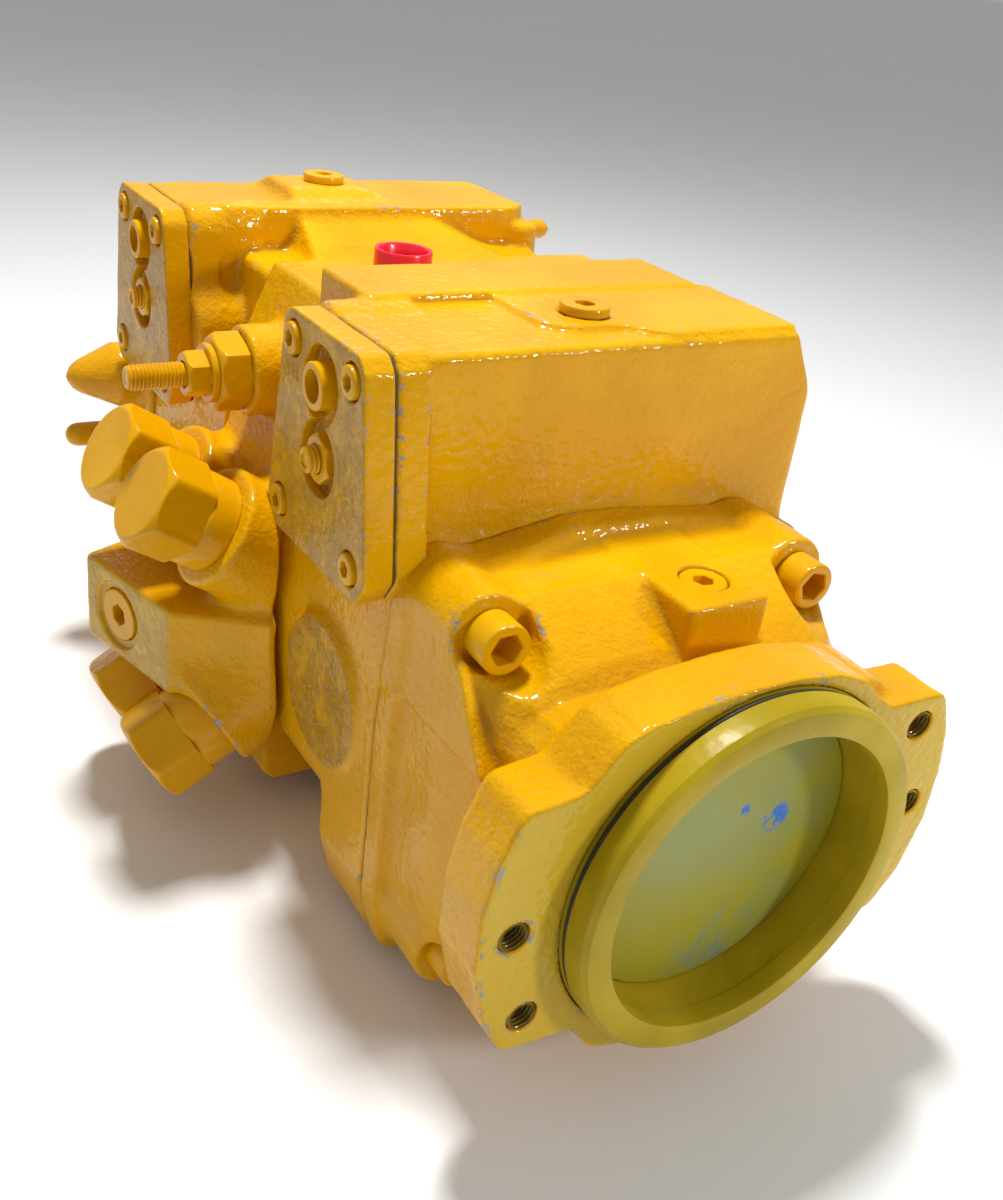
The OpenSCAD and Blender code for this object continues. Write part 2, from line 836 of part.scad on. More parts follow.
module servo_piston() {
    difference() {
        rod_x(servo_y, servo_z, -46, 46, servo_r);
        rod_x(servo_y, servo_z, -47, -21, 18);
        rod_x(servo_y, servo_z, 21, 47, 18);
        block([-pin_r - 0.22, servo_y - 11, 100], [pin_r + 0.22, servo_y + 9, 127.5]);
        for (x = [-40, 40]) {
            ring_groove(x);
        }
    }
}

// Ring groove of the servo piston at x
module ring_groove(x) {
    difference() {
        rod_x(servo_y, servo_z, x - 1.5, x + 1.5, servo_r + 1);
        rod_x(servo_y, servo_z, x - 2, x + 2, servo_r - 2);
    }
}

module front_servo_piston() color(steel) servo_piston();

module rear_servo_piston() color(steel) mirrored() servo_piston();

module retainer() {
    difference() {
        rod_y(0, 0, 98.4, 102, 63.5);
        translate([0, pivot_y, 0]) sphere(r = ball_guide_r + 0.15);
        for (i = [0:8]) {
            rotate([0, i * 40, 0]) rod_y(pitch_r, 0, 97, 103, neck_r + 2.7);
        }
    }
}

module front_retainer() color(steel) retainer();

module rear_retainer() color(steel) mirrored() retainer();

// Places a piece at its angle on the pitch circle, and its twin on the other side of X
module on_pitch(index) {
    angle = piston_angles[index - 1];
    for (a = angle == 0 ? [0] : [-angle, angle]) {
        translate([pitch_r * cos(a), 0, pitch_r * sin(a)]) children();
    }
}

module piston() {
    difference() {
        union() {
            translate([0, pivot_y, 0]) sphere(r = ball_r);
            rod_y(0, 0, pivot_y, pivot_y + 12, 5.2);
            rod_y(0, 0, pivot_y + 11, 190, piston_r);
        }
        rod_y(0, 0, 132, 191, 7);
    }
}

// Turned profile of a slipper: its foot, its neck and the round socket for the ball
module slipper() {
    socket_r = ball_r + 0.25;
    low = swash_face + slipper_gap - pivot_y;
    rim = 3.5;
    rim_angle = asin(rim / socket_r);
    socket = [for (a = [rim_angle:-(rim_angle + 80) / 8:-80.1]) socket_r * [cos(a), sin(a)]];
    translate([0, pivot_y, 0]) rotate([-90, 0, 0]) rotate_extrude()
        polygon(concat([[1.3, low], [foot_r, low], [foot_r, low + foot_t], [neck_r, low + foot_t],
            [neck_r, rim]], socket, [[1.3, -socket_r]]));
}

module front_piston(index) color(steel) on_pitch(index) piston();

module rear_piston(index) color(steel) mirrored() on_pitch(index) piston();

module front_slipper(index) color("peru") on_pitch(index) slipper();

module rear_slipper(index) color("peru") mirrored() on_pitch(index) slipper();

front_housing();
front_pump_housing();
port_block();
rear_pump_housing();
rear_cover();
front_servo_cover();
rear_servo_cover();
gaskets();
servo_cover_screws();
housing_screws();
port_block_studs();
servo_port_plugs();
stroke_limit_screws();
stroke_limit_nuts();
charge_relief_body();
charge_relief_screw();
charge_relief_nut();
relief_valve_plugs();
port_plugs();
seals();
bearing_outer_rings();
port_block_bushes();
cradle_bearings();
valve_plates();
bleed_screws();
bore_cover();
port_cap();
front_shaft();
rear_shaft();
shaft_coupling();
front_barrel();
rear_barrel();
ball_guides();
bearing_rollers();
front_swashplate();
rear_swashplate();
front_servo_piston();
rear_servo_piston();
front_retainer();
rear_retainer();
front_piston(1);  // front_piston_1
front_piston(2);  // front_piston_2
front_piston(3);  // front_piston_3
front_piston(4);  // front_piston_4
front_piston(5);  // front_piston_5
rear_piston(1);  // rear_piston_1
rear_piston(2);  // rear_piston_2
rear_piston(3);  // rear_piston_3
rear_piston(4);  // rear_piston_4
rear_piston(5);  // rear_piston_5
front_slipper(1);  // front_slipper_1
front_slipper(2);  // front_slipper_2
front_slipper(3);  // front_slipper_3
front_slipper(4);  // front_slipper_4
front_slipper(5);  // front_slipper_5
rear_slipper(1);  // rear_slipper_1
rear_slipper(2);  // rear_slipper_2
rear_slipper(3);  // rear_slipper_3
rear_slipper(4);  // rear_slipper_4
rear_slipper(5);  // rear_slipper_5
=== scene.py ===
"""Tandem axial piston pump: castings from distance fields, turned and threaded fittings, layered enamel."""
import json
import math

import bpy
import numpy as np
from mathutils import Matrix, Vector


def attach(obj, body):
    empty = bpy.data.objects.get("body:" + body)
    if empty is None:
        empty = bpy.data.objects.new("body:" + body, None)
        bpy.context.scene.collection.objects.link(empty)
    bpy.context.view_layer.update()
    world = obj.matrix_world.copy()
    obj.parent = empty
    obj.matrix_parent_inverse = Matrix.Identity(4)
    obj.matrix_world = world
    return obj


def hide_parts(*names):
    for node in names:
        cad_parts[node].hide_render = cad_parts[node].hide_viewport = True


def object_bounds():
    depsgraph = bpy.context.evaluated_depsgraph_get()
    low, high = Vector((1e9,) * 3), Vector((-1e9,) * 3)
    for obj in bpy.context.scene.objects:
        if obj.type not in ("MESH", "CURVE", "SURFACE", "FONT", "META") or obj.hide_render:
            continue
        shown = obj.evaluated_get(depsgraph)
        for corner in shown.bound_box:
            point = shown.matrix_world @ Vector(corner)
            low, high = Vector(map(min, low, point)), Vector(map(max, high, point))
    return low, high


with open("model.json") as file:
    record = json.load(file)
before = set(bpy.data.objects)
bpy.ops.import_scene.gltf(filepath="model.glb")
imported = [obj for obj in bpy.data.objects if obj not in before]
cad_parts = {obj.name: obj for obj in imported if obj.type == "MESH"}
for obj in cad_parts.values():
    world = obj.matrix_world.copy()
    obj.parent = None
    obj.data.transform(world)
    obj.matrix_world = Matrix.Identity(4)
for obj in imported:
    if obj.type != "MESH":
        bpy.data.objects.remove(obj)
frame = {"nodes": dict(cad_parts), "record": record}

import openvdb
from mathutils import Matrix, Vector

CAD_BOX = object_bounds()
MM = 0.001
BODY = "casing"

# Stations and sizes of the CAD model, in millimetres
MID_Y = 270.85
FAR_Y = 2 * MID_Y
SEAM_Y = 121.5
BLOCK_Y = 233.0
BLOCK_TOP = 156
GASKET = 0.6
END_BACK_Y = SEAM_Y - GASKET / 2
PUMP_FRONT_Y = SEAM_Y + GASKET / 2
PUMP_BACK_Y = BLOCK_Y - GASKET / 2
FLANGE_THICKNESS = 28
CAVITY_R = 74.5
SCREW_X = 77.0
SCREW_Z = 78.0
SCREW_TOP_Y = 61
EAR_CIRCLE_R = 100
EAR_ANGLES = (0, 25, 180, 205)

# The servo cylinder, its block and its cover
SERVO_Y = 158.5
SERVO_Z = 133.0
SERVO_LEFT = -87
SERVO_RIGHT = 116
SERVO_TOP = 169.5
SERVO_BACK_Y = 195.5
PLATFORM_TOP = 172
STRIP_TOP = 173.5
PAD_TOP = 177
COVER_SEAT = -97.9
COVER_OUT = -111.7
COVER_IN = -98.7
HOLLOW_PLUG_Z = 147.7
STROKE_SCREW_Z = 117.8
COVER_HOLES = ((26.4, 158.2), (-26.4, 158.2), (34.2, 85.7), (-33.4, 85.7))

# Places of the small fittings
CHARGE_Z = 115
RED_CAP = (-9, 291)
BLOCK_PLUG = (34, 287)
BOSS_PLUG = (17, 66)
BLEED = (183.7, 157)

# Half the bolt spacing of a work port's flange, each way
FLANGE_BOLT_HALVES = (13.9, 28.6)

# Bare spots on the bore cover
BLUE_SPOT = (30.2, 10.5, 6.5)
SMALL_SPOT = (11.7, 10.5, 15.1)

# Grid steps of the castings' distance fields
HIDDEN_STEP = 2.0
CAST_STEP = 1.35
PLATE_STEP = 0.8


# ---- distance fields ----

def soft_min(a, b, blend):
    """The lower of two fields, with a fillet of about the blend's size where they meet."""
    if blend <= 0:
        return np.minimum(a, b)
    h = np.maximum(blend - np.abs(a - b), 0) / blend
    return np.minimum(a, b) - h * h * (blend / 4)


def round_join(u, v, edge):
    """Where both fields are below zero, with a rounded edge."""
    u = u + edge
    v = v + edge
    outside = np.hypot(np.maximum(u, 0), np.maximum(v, 0))
    return np.minimum(np.maximum(u, v), 0) + outside - edge


def rounded(points, radius, steps=5):
    """An outline with an arc at each corner."""
    out = []
    n = len(points)
    for i in range(n):
        p = np.array(points[i], float)
        a = np.array(points[i - 1], float) - p
        b = np.array(points[(i + 1) % n], float) - p
        la, lb = np.linalg.norm(a), np.linalg.norm(b)
        a, b = a / la, b / lb
        angle = math.acos(max(-1.0, min(1.0, float(a @ b))))
        if angle > math.radians(172):
            out.append(tuple(p))
            continue
        reach = min(radius / math.tan(angle / 2), la * 0.48, lb * 0.48)
        r = reach * math.tan(angle / 2)
        centre = p + (a + b) / np.linalg.norm(a + b) * (r / math.sin(angle / 2))
        start = p + a * reach - centre
        end = p + b * reach - centre
        for k in range(steps + 1):
            t = k / steps
            v = start * (1 - t) + end * t
            out.append(tuple(centre + v / np.linalg.norm(v) * r))
    return out


def outline_field(u, v, points):
    """Signed distance from an outline, on a grid of u by v."""
    best = np.full(np.broadcast(u, v).shape, 1e9)
    inside = np.zeros(best.shape, bool)
    n = len(points)
    for i in range(n):
        (ax, ay), (bx, by) = points[i], points[(i + 1) % n]
        ex, ey = bx - ax, by - ay
        t = np.clip(((u - ax) * ex + (v - ay) * ey) / max(ex * ex + ey * ey, 1e-9), 0, 1)
        best = np.minimum(best, (u - ax - t * ex) ** 2 + (v - ay - t * ey) ** 2)
        crosses = ((ay > v) != (by > v)) & (u < ex * (v - ay) / (ey if ey else 1e-9) + ax)
        inside ^= crosses
    d = np.sqrt(best)
    return np.where(inside, -d, d).astype(np.float32)


class Casting:
    """A distance field on a grid, in millimetres. Below zero is metal."""

    def __init__(self, low, high, step):
        self.step = step
        self.low = np.array(low, float)
        axes = [np.arange(a, b + step, step, dtype=np.float32) for a, b in zip(low, high)]
        self.axes = axes
        self.x = axes[0][:, None, None]
        self.y = axes[1][None, :, None]
        self.z = axes[2][None, None, :]
        self.d = np.full([len(a) for a in axes], 60, np.float32)

    def add(self, shape, blend=0.0):
        self.d = soft_min(self.d, shape, blend)

    def cut(self, shape, blend=0.0):
        self.d = -soft_min(-self.d, shape, blend)

    def keep(self, shape, blend=0.0):
        self.d = -soft_min(-self.d, -shape, blend)

    def box(self, low, high, edge=0.0):
        parts = [np.abs(p - (a + b) / 2) - (b - a) / 2 + edge
                 for p, a, b in zip((self.x, self.y, self.z), low, high)]
        outside = np.sqrt(sum(np.maximum(q, 0) ** 2 for q in parts))
        inside = np.minimum(np.maximum(np.maximum(parts[0], parts[1]), parts[2]), 0)
        return outside + inside - edge

    def rod(self, axis, centre, r, start, end, edge=0.0):
        """A rod along an axis; centre gives the other two coordinates, in X, Y, Z order."""
        along = (self.x, self.y, self.z)[axis]
        u, v = [p for i, p in enumerate((self.x, self.y, self.z)) if i != axis]
        radial = np.hypot(u - centre[0], v - centre[1]) - r
        return round_join(radial, np.abs(along - (start + end) / 2) - (end - start) / 2, edge)

    def leaning_rod(self, origin, direction, r, start, end, edge=0.0):
        """A rod from a point along any direction."""
        d = np.array(direction, float)
        d /= np.linalg.norm(d)
        px, py, pz = self.x - origin[0], self.y - origin[1], self.z - origin[2]
        along = px * d[0] + py * d[1] + pz * d[2]
        radial = np.sqrt(np.maximum(px * px + py * py + pz * pz - along * along, 0)) - r
        return round_join(radial, np.abs(along - (start + end) / 2) - (end - start) / 2, edge)

    def profile(self, axis, points):
        """Distance from an outline that runs on for ever along an axis."""
        u, v = [a for i, a in enumerate(self.axes) if i != axis]
        flat = outline_field(u[:, None], v[None, :], points)
        return np.expand_dims(flat, axis)

    def slab(self, axis, start, end):
        along = (self.x, self.y, self.z)[axis]
        return np.abs(along - (start + end) / 2) - (end - start) / 2

    def prism(self, axis, points, start, end, edge=0.0):
        return round_join(self.profile(axis, points), self.slab(axis, start, end), edge)

    def sample(self, field, points):
        """The field's value at points, between grid points."""
        g = (points - self.low) / self.step
        top = np.array(field.shape) - 2
        i = np.clip(np.floor(g).astype(int), 0, top)
        f = np.clip(g - i, 0, 1)
        out = np.zeros(len(points))
        for dx in (0, 1):
            for dy in (0, 1):
                for dz in (0, 1):
                    w = (np.where(dx, f[:, 0], 1 - f[:, 0]) * np.where(dy, f[:, 1], 1 - f[:, 1])
                         * np.where(dz, f[:, 2], 1 - f[:, 2]))
                    out += w * field[i[:, 0] + dx, i[:, 1] + dy, i[:, 2] + dz]
        return out

    def surface(self):
        """Points, faces, normals and edge measure of the casting's surface."""
        grid = openvdb.FloatGrid()
        grid.copyFromArray(self.d)
        points, quads = grid.convertToQuads(isovalue=0.0)
        points = points.astype(float) * self.step + self.low
        slopes = np.gradient(self.d, self.step)
        for _ in range(2):
            normals = self.normals(slopes, points)
            points -= normals * np.clip(self.sample(self.d, points), -0.5, 0.5)[:, None]
        normals = self.normals(slopes, points)
        near = np.clip(self.d, -4, 4)
        edges = self.sample(box_blur(near, int(round(3.2 / self.step))), points) - self.sample(near, points)
        a, b, c = (points[quads[:, k]] for k in range(3))
        facing = np.einsum("ij,ij->i", np.cross(b - a, c - a), normals[quads[:, 0]])
        if np.median(facing) < 0:
            quads = quads[:, ::-1]
        return points, quads, normals, edges

    def normals(self, slopes, points):
        n = np.stack([self.sample(s, points) for s in slopes], 1)
        return n / np.maximum(np.linalg.norm(n, axis=1, keepdims=True), 1e-6)


def box_blur(field, radius):
    """The mean over a cube of grid points."""
    out = field.astype(np.float32)
    for axis in range(3):
        width = 2 * radius + 1
        padding = [(0, 0)] * 3
        padding[axis] = (radius + 1, radius)
        total = np.cumsum(np.pad(out, padding, mode="edge"), axis=axis, dtype=np.float64)
        high = np.take(total, range(width, total.shape[axis]), axis=axis)
        low = np.take(total, range(0, total.shape[axis] - width), axis=axis)
        out = ((high - low) / width).astype(np.float32)
    return out


def ripples(points, wavelength, seed, count=10):
    """Smooth irregular waves of about one wavelength, between -1 and 1."""
    rng = np.random.default_rng(seed)
    total = np.zeros(len(points))
    for _ in range(count):
        way = rng.normal(size=3)
        way *= 2 * math.pi / (wavelength * rng.uniform(0.7, 1.4)) / np.linalg.norm(way)
        total += np.sin(points @ way + rng.uniform(0, 6.28))
    return total / math.sqrt(count)


# ---- making pieces ----

def add_mesh(name, points, faces, material, nodes, body, normals=None, layers=None, sharp=34):
    """A mesh object from points in millimetres, riding on a body."""
    mesh = bpy.data.meshes.new(name)
    mesh.from_pydata((np.asarray(points) * MM).tolist(), [], [list(map(int, f)) for f in faces])
    mesh.polygons.foreach_set("use_smooth", np.ones(len(mesh.polygons), bool))
    for layer, values in (layers or {}).items():
        attribute = mesh.attributes.new(layer, "FLOAT", "POINT")
        attribute.data.foreach_set("value", np.asarray(values, np.float32))
    if normals is not None:
        mesh.normals_split_custom_set_from_vertices(np.asarray(normals, np.float32).tolist())
    else:
        mesh.set_sharp_from_angle(angle=math.radians(sharp))
    mesh.materials.append(material)
    piece = bpy.data.objects.new(name, mesh)
    bpy.context.scene.collection.objects.link(piece)
    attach(piece, body)
    if nodes:
        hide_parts(*nodes)


def flipped(points, faces):
    """The same shape in the rear unit."""
    points = np.array(points, float)
    points[:, 1] = FAR_Y - points[:, 1]
    return points, [f[::-1] for f in faces]


class Shapes:
    """Gathers turned shapes into one mesh."""

    def __init__(self):
        self.points = []
        self.faces = []

    def add(self, points, faces, origin=(0, 0, 0), direction=(0, 0, 1), turn=0.0, mirror=False):
        """Adds a shape whose Z axis points along a direction; turn is in degrees about that axis."""
        aim = Vector(direction).to_track_quat("Z", "Y").to_matrix()
        aim = aim @ Matrix.Rotation(math.radians(turn), 3, "Z")
        points = np.asarray(points) @ np.array(aim).T + np.array(origin, float)
        if mirror:
            points, faces = flipped(points, faces)
        start = sum(len(p) for p in self.points)
        self.points.append(points)
        self.faces.extend([[i + start for i in f] for f in faces])

    def make(self, name, material, nodes, body=BODY, slot="yellow_paint", sharp=34):
        points = np.concatenate(self.points)
        none = np.zeros(len(points))
        layers = {"edge": none, "worn_and_shaded": none, "turned": np.ones(len(points))}
        add_mesh(name, points, self.faces, material, nodes, body, layers=layers, sharp=sharp)


def hexagon_radius(angle, width, power=60):
    """Radius of a hexagon with slightly rounded corners."""
    total = sum(np.abs(np.cos(angle - k * math.pi / 3)) ** power for k in range(3))
    return width / 2 / total ** (1 / power)


def turned(rings, sides=72):
    """A closed solid from rings of (height, radius, hexagon width or None), from its bottom to its end."""
    angles = np.arange(sides) * 2 * math.pi / sides
    points = []
    for height, radius, width in rings:
        r = np.full(sides, radius, float)
        if width:
            r = np.minimum(r, hexagon_radius(angles, width))
        points.append(np.stack([r * np.cos(angles), r * np.sin(angles), np.full(sides, height)], 1))
    faces = []
    for k in range(len(rings) - 1):
        for j in range(sides):
            a, b = k * sides + j, k * sides + (j + 1) % sides
            faces.append([a, b, b + sides, a + sides])
    faces.append(list(range(sides))[::-1])
    faces.append([(len(rings) - 1) * sides + j for j in range(sides)])
    return np.concatenate(points), faces


def ring_solid(profile, sides=96):
    """A turned ring from a closed profile of (radius, height), counter-clockwise."""
    angles = np.arange(sides) * 2 * math.pi / sides
    n = len(profile)
    points = [(r * math.cos(a), r * math.sin(a), h) for a in angles for r, h in profile]
    faces = []
    for j in range(sides):
        for k in range(n):
            a, b = j * n + k, j * n + (k + 1) % n
            c, d = ((j + 1) % sides) * n + (k + 1) % n, ((j + 1) % sides) * n + k
            faces.append([a, d, c, b])
    return np.array(points), faces


def thread(crest, root, pitch, length, lining=False, sides=40, per_turn=6):
    """A threaded rod from height 0 to length, or the lining of a threaded hole."""
    rows = int(length / pitch * per_turn)
    angles = np.arange(sides) * 2 * math.pi / sides
    points = []
    for i in range(rows + 1):
        height = i * length / rows
        phase = height / pitch - angles / (2 * math.pi)
        wave = 0.5 + 0.5 * np.cos(2 * math.pi * phase)
        fade = min(1.0, (rows - i) / per_turn, 0.4 + i / per_turn)
        r = root + (crest - root) * wave * fade
        points.append(np.stack([r * np.cos(angles), r * np.sin(angles), np.full(sides, height)], 1))
    points = np.concatenate(points)
    faces = []
    for i in range(rows):
        for j in range(sides):
            a, b = i * sides + j, i * sides + (j + 1) % sides
            quad = [a, b, b + sides, a + sides]
            faces.append(quad[::-1] if lining else quad)
    if not lining:
        faces.append(list(range(sides))[::-1])
        faces.append([rows * sides + j for j in range(sides)])
    return points, faces


# ---- materials ----

class Look:
    """A material's node tree, built by short calls."""

    def __init__(self, name):
        self.material = bpy.data.materials.new(name)
        self.material.use_nodes = True
        self.tree = self.material.node_tree
        self.shader = self.tree.nodes["Principled BSDF"]
        self.place = self.tree.nodes.new("ShaderNodeTexCoord").outputs["Object"]

    def link(self, source, target):
        self.tree.links.new(source, target)

    def noise(self, size, detail=2.0, rough=0.5, warp=0.0):
        """Noise with features of about a size in millimetres."""
        n = self.tree.nodes.new("ShaderNodeTexNoise")
        n.inputs["Scale"].default_value = 1 / (size * MM)
        n.inputs["Detail"].default_value = detail
        n.inputs["Roughness"].default_value = rough
        n.inputs["Distortion"].default_value = warp
        self.link(self.place, n.inputs["Vector"])
        return n.outputs["Fac"]

    def around(self, place, inner, outer):
        """1 within one distance of a place, in millimetres, and 0 past another."""
        n = self.tree.nodes.new("ShaderNodeVectorMath")
        n.operation = "DISTANCE"
        n.inputs[1].default_value = [v * MM for v in place]
        self.link(self.place, n.inputs[0])
        return self.step(n.outputs["Value"], inner * MM, outer * MM, 1.0, 0.0)

    def layer(self, name):
        n = self.tree.nodes.new("ShaderNodeAttribute")
        n.attribute_name = name
        return n.outputs["Fac"]

    def math(self, kind, a, b=None):
        n = self.tree.nodes.new("ShaderNodeMath")
        n.operation = kind
        for i, v in enumerate((a, b)):
            if v is None:
                continue
            if isinstance(v, (int, float)):
                n.inputs[i].default_value = v
            else:
                self.link(v, n.inputs[i])
        return n.outputs[0]

    def step(self, value, low, high, to_low=0.0, to_high=1.0):
        """Maps a value's range to another, with soft ends."""
        n = self.tree.nodes.new("ShaderNodeMapRange")
        n.interpolation_type = "SMOOTHSTEP"
        for i, v in enumerate((low, high, to_low, to_high), 1):
            n.inputs[i].default_value = v
        self.link(value, n.inputs[0])
        return n.outputs[0]

    def mix(self, factor, a, b):
        """Mixes two colours, each a tuple or a socket."""
        n = self.tree.nodes.new("ShaderNodeMix")
        n.data_type = "RGBA"
        self.link(factor, n.inputs[0])
        for i, v in ((6, a), (7, b)):
            if isinstance(v, tuple):
                n.inputs[i].default_value = (*v, 1)
            else:
                self.link(v, n.inputs[i])
        return n.outputs[2]

    def bump(self, height, distance, strength=1.0, below=None):
        """A bump of a height in millimetres, over another one."""
        n = self.tree.nodes.new("ShaderNodeBump")
        n.inputs["Strength"].default_value = strength
        n.inputs["Distance"].default_value = distance * MM
        self.link(height, n.inputs["Height"])
        if below is not None:
            self.link(below, n.inputs["Normal"])
        return n.outputs[0]

    def finish(self, colour, rough, normal=None, metal=None, **sockets):
        for value, socket in ((colour, "Base Color"), (rough, "Roughness"), (metal, "Metallic")):
            if value is None:
                continue
            if isinstance(value, tuple):
                self.shader.inputs[socket].default_value = (*value, 1)
            elif isinstance(value, (int, float)):
                self.shader.inputs[socket].default_value = value
            else:
                self.link(value, self.shader.inputs[socket])
        if normal is not None:
            self.link(normal, self.shader.inputs["Normal"])
        for socket, value in sockets.items():
            self.shader.inputs[socket.replace("_", " ")].default_value = value
        return self.material


AMBER = (0.67, 0.325, 0.0005)
BRIGHT = (0.78, 0.405, 0.0005)
SHADED = (0.40, 0.175, 0.001)
# Brown for the marked faces: paint wear together with painted shade.
RUBBED_AND_SHADED = (0.40, 0.20, 0.008)
# A painted glint: the pale streaks in the brown patches.
PAINTED_GLINT_STREAK = (0.60, 0.42, 0.11)
# A painted reflection: the olive tone given to machined faces.
PAINTED_OLIVE_REFLECTION = (0.56, 0.40, 0.030)
PRIMER = (0.20, 0.29, 0.40)


def scuffed_zones(m):
    """1 at the left ear, the left housing screw and the front servo block's left edge, 0 away from them."""
    out = m.around((-110, 2, -16), 12, 46)
    out = m.math("MAXIMUM", out, m.around((-92, 79, 80), 5, 17))
    return m.math("MAXIMUM", out, m.around((-98, 122, 138), 8, 34))


def enamel(name, grain=1.0, wear=1.0, dark=AMBER, light=BRIGHT, olive_reflection=0.0, gloss=0.45, blur=0.05):
    """Thick glossy yellow enamel: painted shade in corners, chipped at edges; brown from wear and painted
    shade where marked, with painted glint streaks; a painted olive reflection on machined faces.
    """
    m = Look(name)
    edge = m.layer("edge")
    worn_and_shaded = m.layer("worn_and_shaded")
    flat = m.layer("turned")
    colour = m.mix(m.step(m.noise(60, 3, 0.5), 0.3, 0.72), dark, light)
    colour = m.mix(m.step(m.noise(2.6, 4, 0.65), 0.62, 0.8, 0, 0.16), colour, SHADED)
    # Painted shade: concave places are darkened towards the shaded tone.
    painted_hollow_shade = m.step(m.math("MULTIPLY", edge, -1), 0.1, 0.9, 0, 0.5)
    colour = m.mix(painted_hollow_shade, colour, SHADED)
    # Painted reflection: machined faces take an olive tone.
    colour = m.mix(m.math("MULTIPLY", flat, olive_reflection), colour, PAINTED_OLIVE_REFLECTION)
    # Brown patches on the marked faces: paint wear and painted shade.
    patches = m.step(m.noise(16, 5, 0.62, 0.4), 0.34, 0.58, 0.25, 1.0)
    rubbed_and_shaded = m.math("MULTIPLY", worn_and_shaded, patches)
    colour = m.mix(rubbed_and_shaded, colour, RUBBED_AND_SHADED)
    # Pale streaks in the brown patches: painted glints.
    crease = m.math("ABSOLUTE", m.math("SUBTRACT", m.noise(7, 4, 0.6, 1.2), 0.5))
    painted_glint_streaks = m.math("MULTIPLY", m.step(crease, 0.0, 0.035, 0.75, 0.0), rubbed_and_shaded)
    colour = m.mix(painted_glint_streaks, colour, PAINTED_GLINT_STREAK)
    rim = m.step(edge, 0.38, 0.75)
    region = m.step(m.noise(38, 2), 0.56, 0.64)
    flakes = m.step(m.noise(4.5, 4, 0.7, 0.5), 0.54, 0.57, 0, wear)
    region = m.math("MAXIMUM", region, scuffed_zones(m))
    chips = m.math("MULTIPLY", m.math("MULTIPLY", rim, region), flakes)
    colour = m.mix(chips, colour, PRIMER)
    pits = m.math("MULTIPLY", m.noise(1.6, 2, 0.5), m.math("SUBTRACT", 1.0, flat))
    waves = m.bump(m.noise(16, 2, 0.5), 0.7, 0.6)
    waves = m.bump(m.noise(4.0, 1, 0.4), 0.65 * grain, 0.8, waves)
    waves = m.bump(painted_glint_streaks, 0.15, 0.8, waves)
    waves = m.bump(m.math("MULTIPLY", chips, -1), 0.25, 0.8, waves)
    m.link(waves, m.shader.inputs["Coat Normal"])
    rough = m.step(m.noise(11, 3), 0.3, 0.75, 0.36, 0.5)
    rough = m.math("MAXIMUM", rough, m.math("MULTIPLY", chips, 0.6))
    normal = m.bump(pits, 0.6 * grain, 0.8, waves)
    return m.finish(colour, rough, normal, Coat_Weight=gloss, Coat_Roughness=blur,
                    Specular_IOR_Level=0.1, Specular_Tint=(1.0, 0.6, 0.05, 1.0))


def satin_olive():
    """Thin green-yellow wash over primer, with two uncovered blue spots and a bluish stretch at its foot.
    """
    m = Look("bore_wash")
    drift = m.noise(46, 3, 0.6, 0.3)
    colour = m.mix(m.step(drift, 0.36, 0.62), (0.27, 0.28, 0.06), (0.33, 0.29, 0.008))
    haze = m.step(m.noise(20, 3), 0.3, 0.7, 0.4, 0.9)
    haze = m.math("MULTIPLY", m.around((-22, 10.5, 18), 8, 62), haze)
    colour = m.mix(haze, colour, (0.30, 0.33, 0.13))
    foot = m.step(m.noise(13, 4, 0.6, 0.5), 0.42, 0.66, 0, 0.8)
    foot = m.math("MULTIPLY", m.around((14, 10.5, -60), 6, 34), foot)
    colour = m.mix(foot, colour, (0.13, 0.23, 0.24))
    spots = m.math("MAXIMUM", m.around(BLUE_SPOT, 5, 8.5), m.around(SMALL_SPOT, 1.5, 4))
    torn = m.step(m.noise(6, 4, 0.6, 0.6), 0.40, 0.45)
    colour = m.mix(m.math("MULTIPLY", spots, torn), colour, (0.03, 0.16, 0.55))
    dust = m.noise(1.2, 3, 0.7)
    colour = m.mix(m.step(dust, 0.5, 0.8, 0, 0.25), colour, (0.36, 0.37, 0.14))
    normal = m.bump(m.noise(1.0, 2), 0.06, 0.5)
    rough = m.step(drift, 0.3, 0.7, 0.4, 0.55)
    return m.finish(colour, rough, normal, Coat_Weight=0.1, Coat_Roughness=0.25, Specular_IOR_Level=0.25)


def red_plastic():
    m = Look("red_cap")
    colour = m.mix(m.noise(9, 2), (0.72, 0.006, 0.03), (0.85, 0.015, 0.06))
    normal = m.bump(m.noise(3, 2), 0.05, 0.5)
    return m.finish(colour, 0.28, normal, Subsurface_Weight=0.25, Subsurface_Scale=0.004, Coat_Weight=0.3)


def ground_steel(name, low, high, size=(0.3, 0.3, 0.3)):
    """Ground steel with fine streaks, a thin film of oil and small scratches."""
    m = Look(name)
    stretch = m.tree.nodes.new("ShaderNodeMapping")
    stretch.inputs["Scale"].default_value = size
    m.link(m.place, stretch.inputs["Vector"])
    m.place = stretch.outputs[0]
    streaks = m.noise(1.4, 4, 0.7)
    colour = m.mix(m.step(streaks, 0.3, 0.7), low, high)
    normal = m.bump(streaks, 0.03, 0.5)
    return m.finish(colour, m.step(streaks, 0.3, 0.7, 0.22, 0.42), normal, metal=1.0, Coat_Weight=0.15)


def dull(name, low, high, rough):
    """A plain matte stuff with a fine grain."""
    m = Look(name)
    grain = m.noise(3.0, 4, 0.65)
    normal = m.bump(m.noise(1.0, 3), 0.08, 0.6)
    return m.finish(m.mix(grain, low, high), m.step(grain, 0.3, 0.7, rough - 0.12, rough + 0.1), normal)


def floor_paper():
    m = Look("floor_paper")
    colour = m.mix(m.noise(300, 2), (0.86, 0.86, 0.85), (0.90, 0.90, 0.89))
    return m.finish(colour, 0.85, m.bump(m.noise(2.0, 2), 0.05, 0.3))


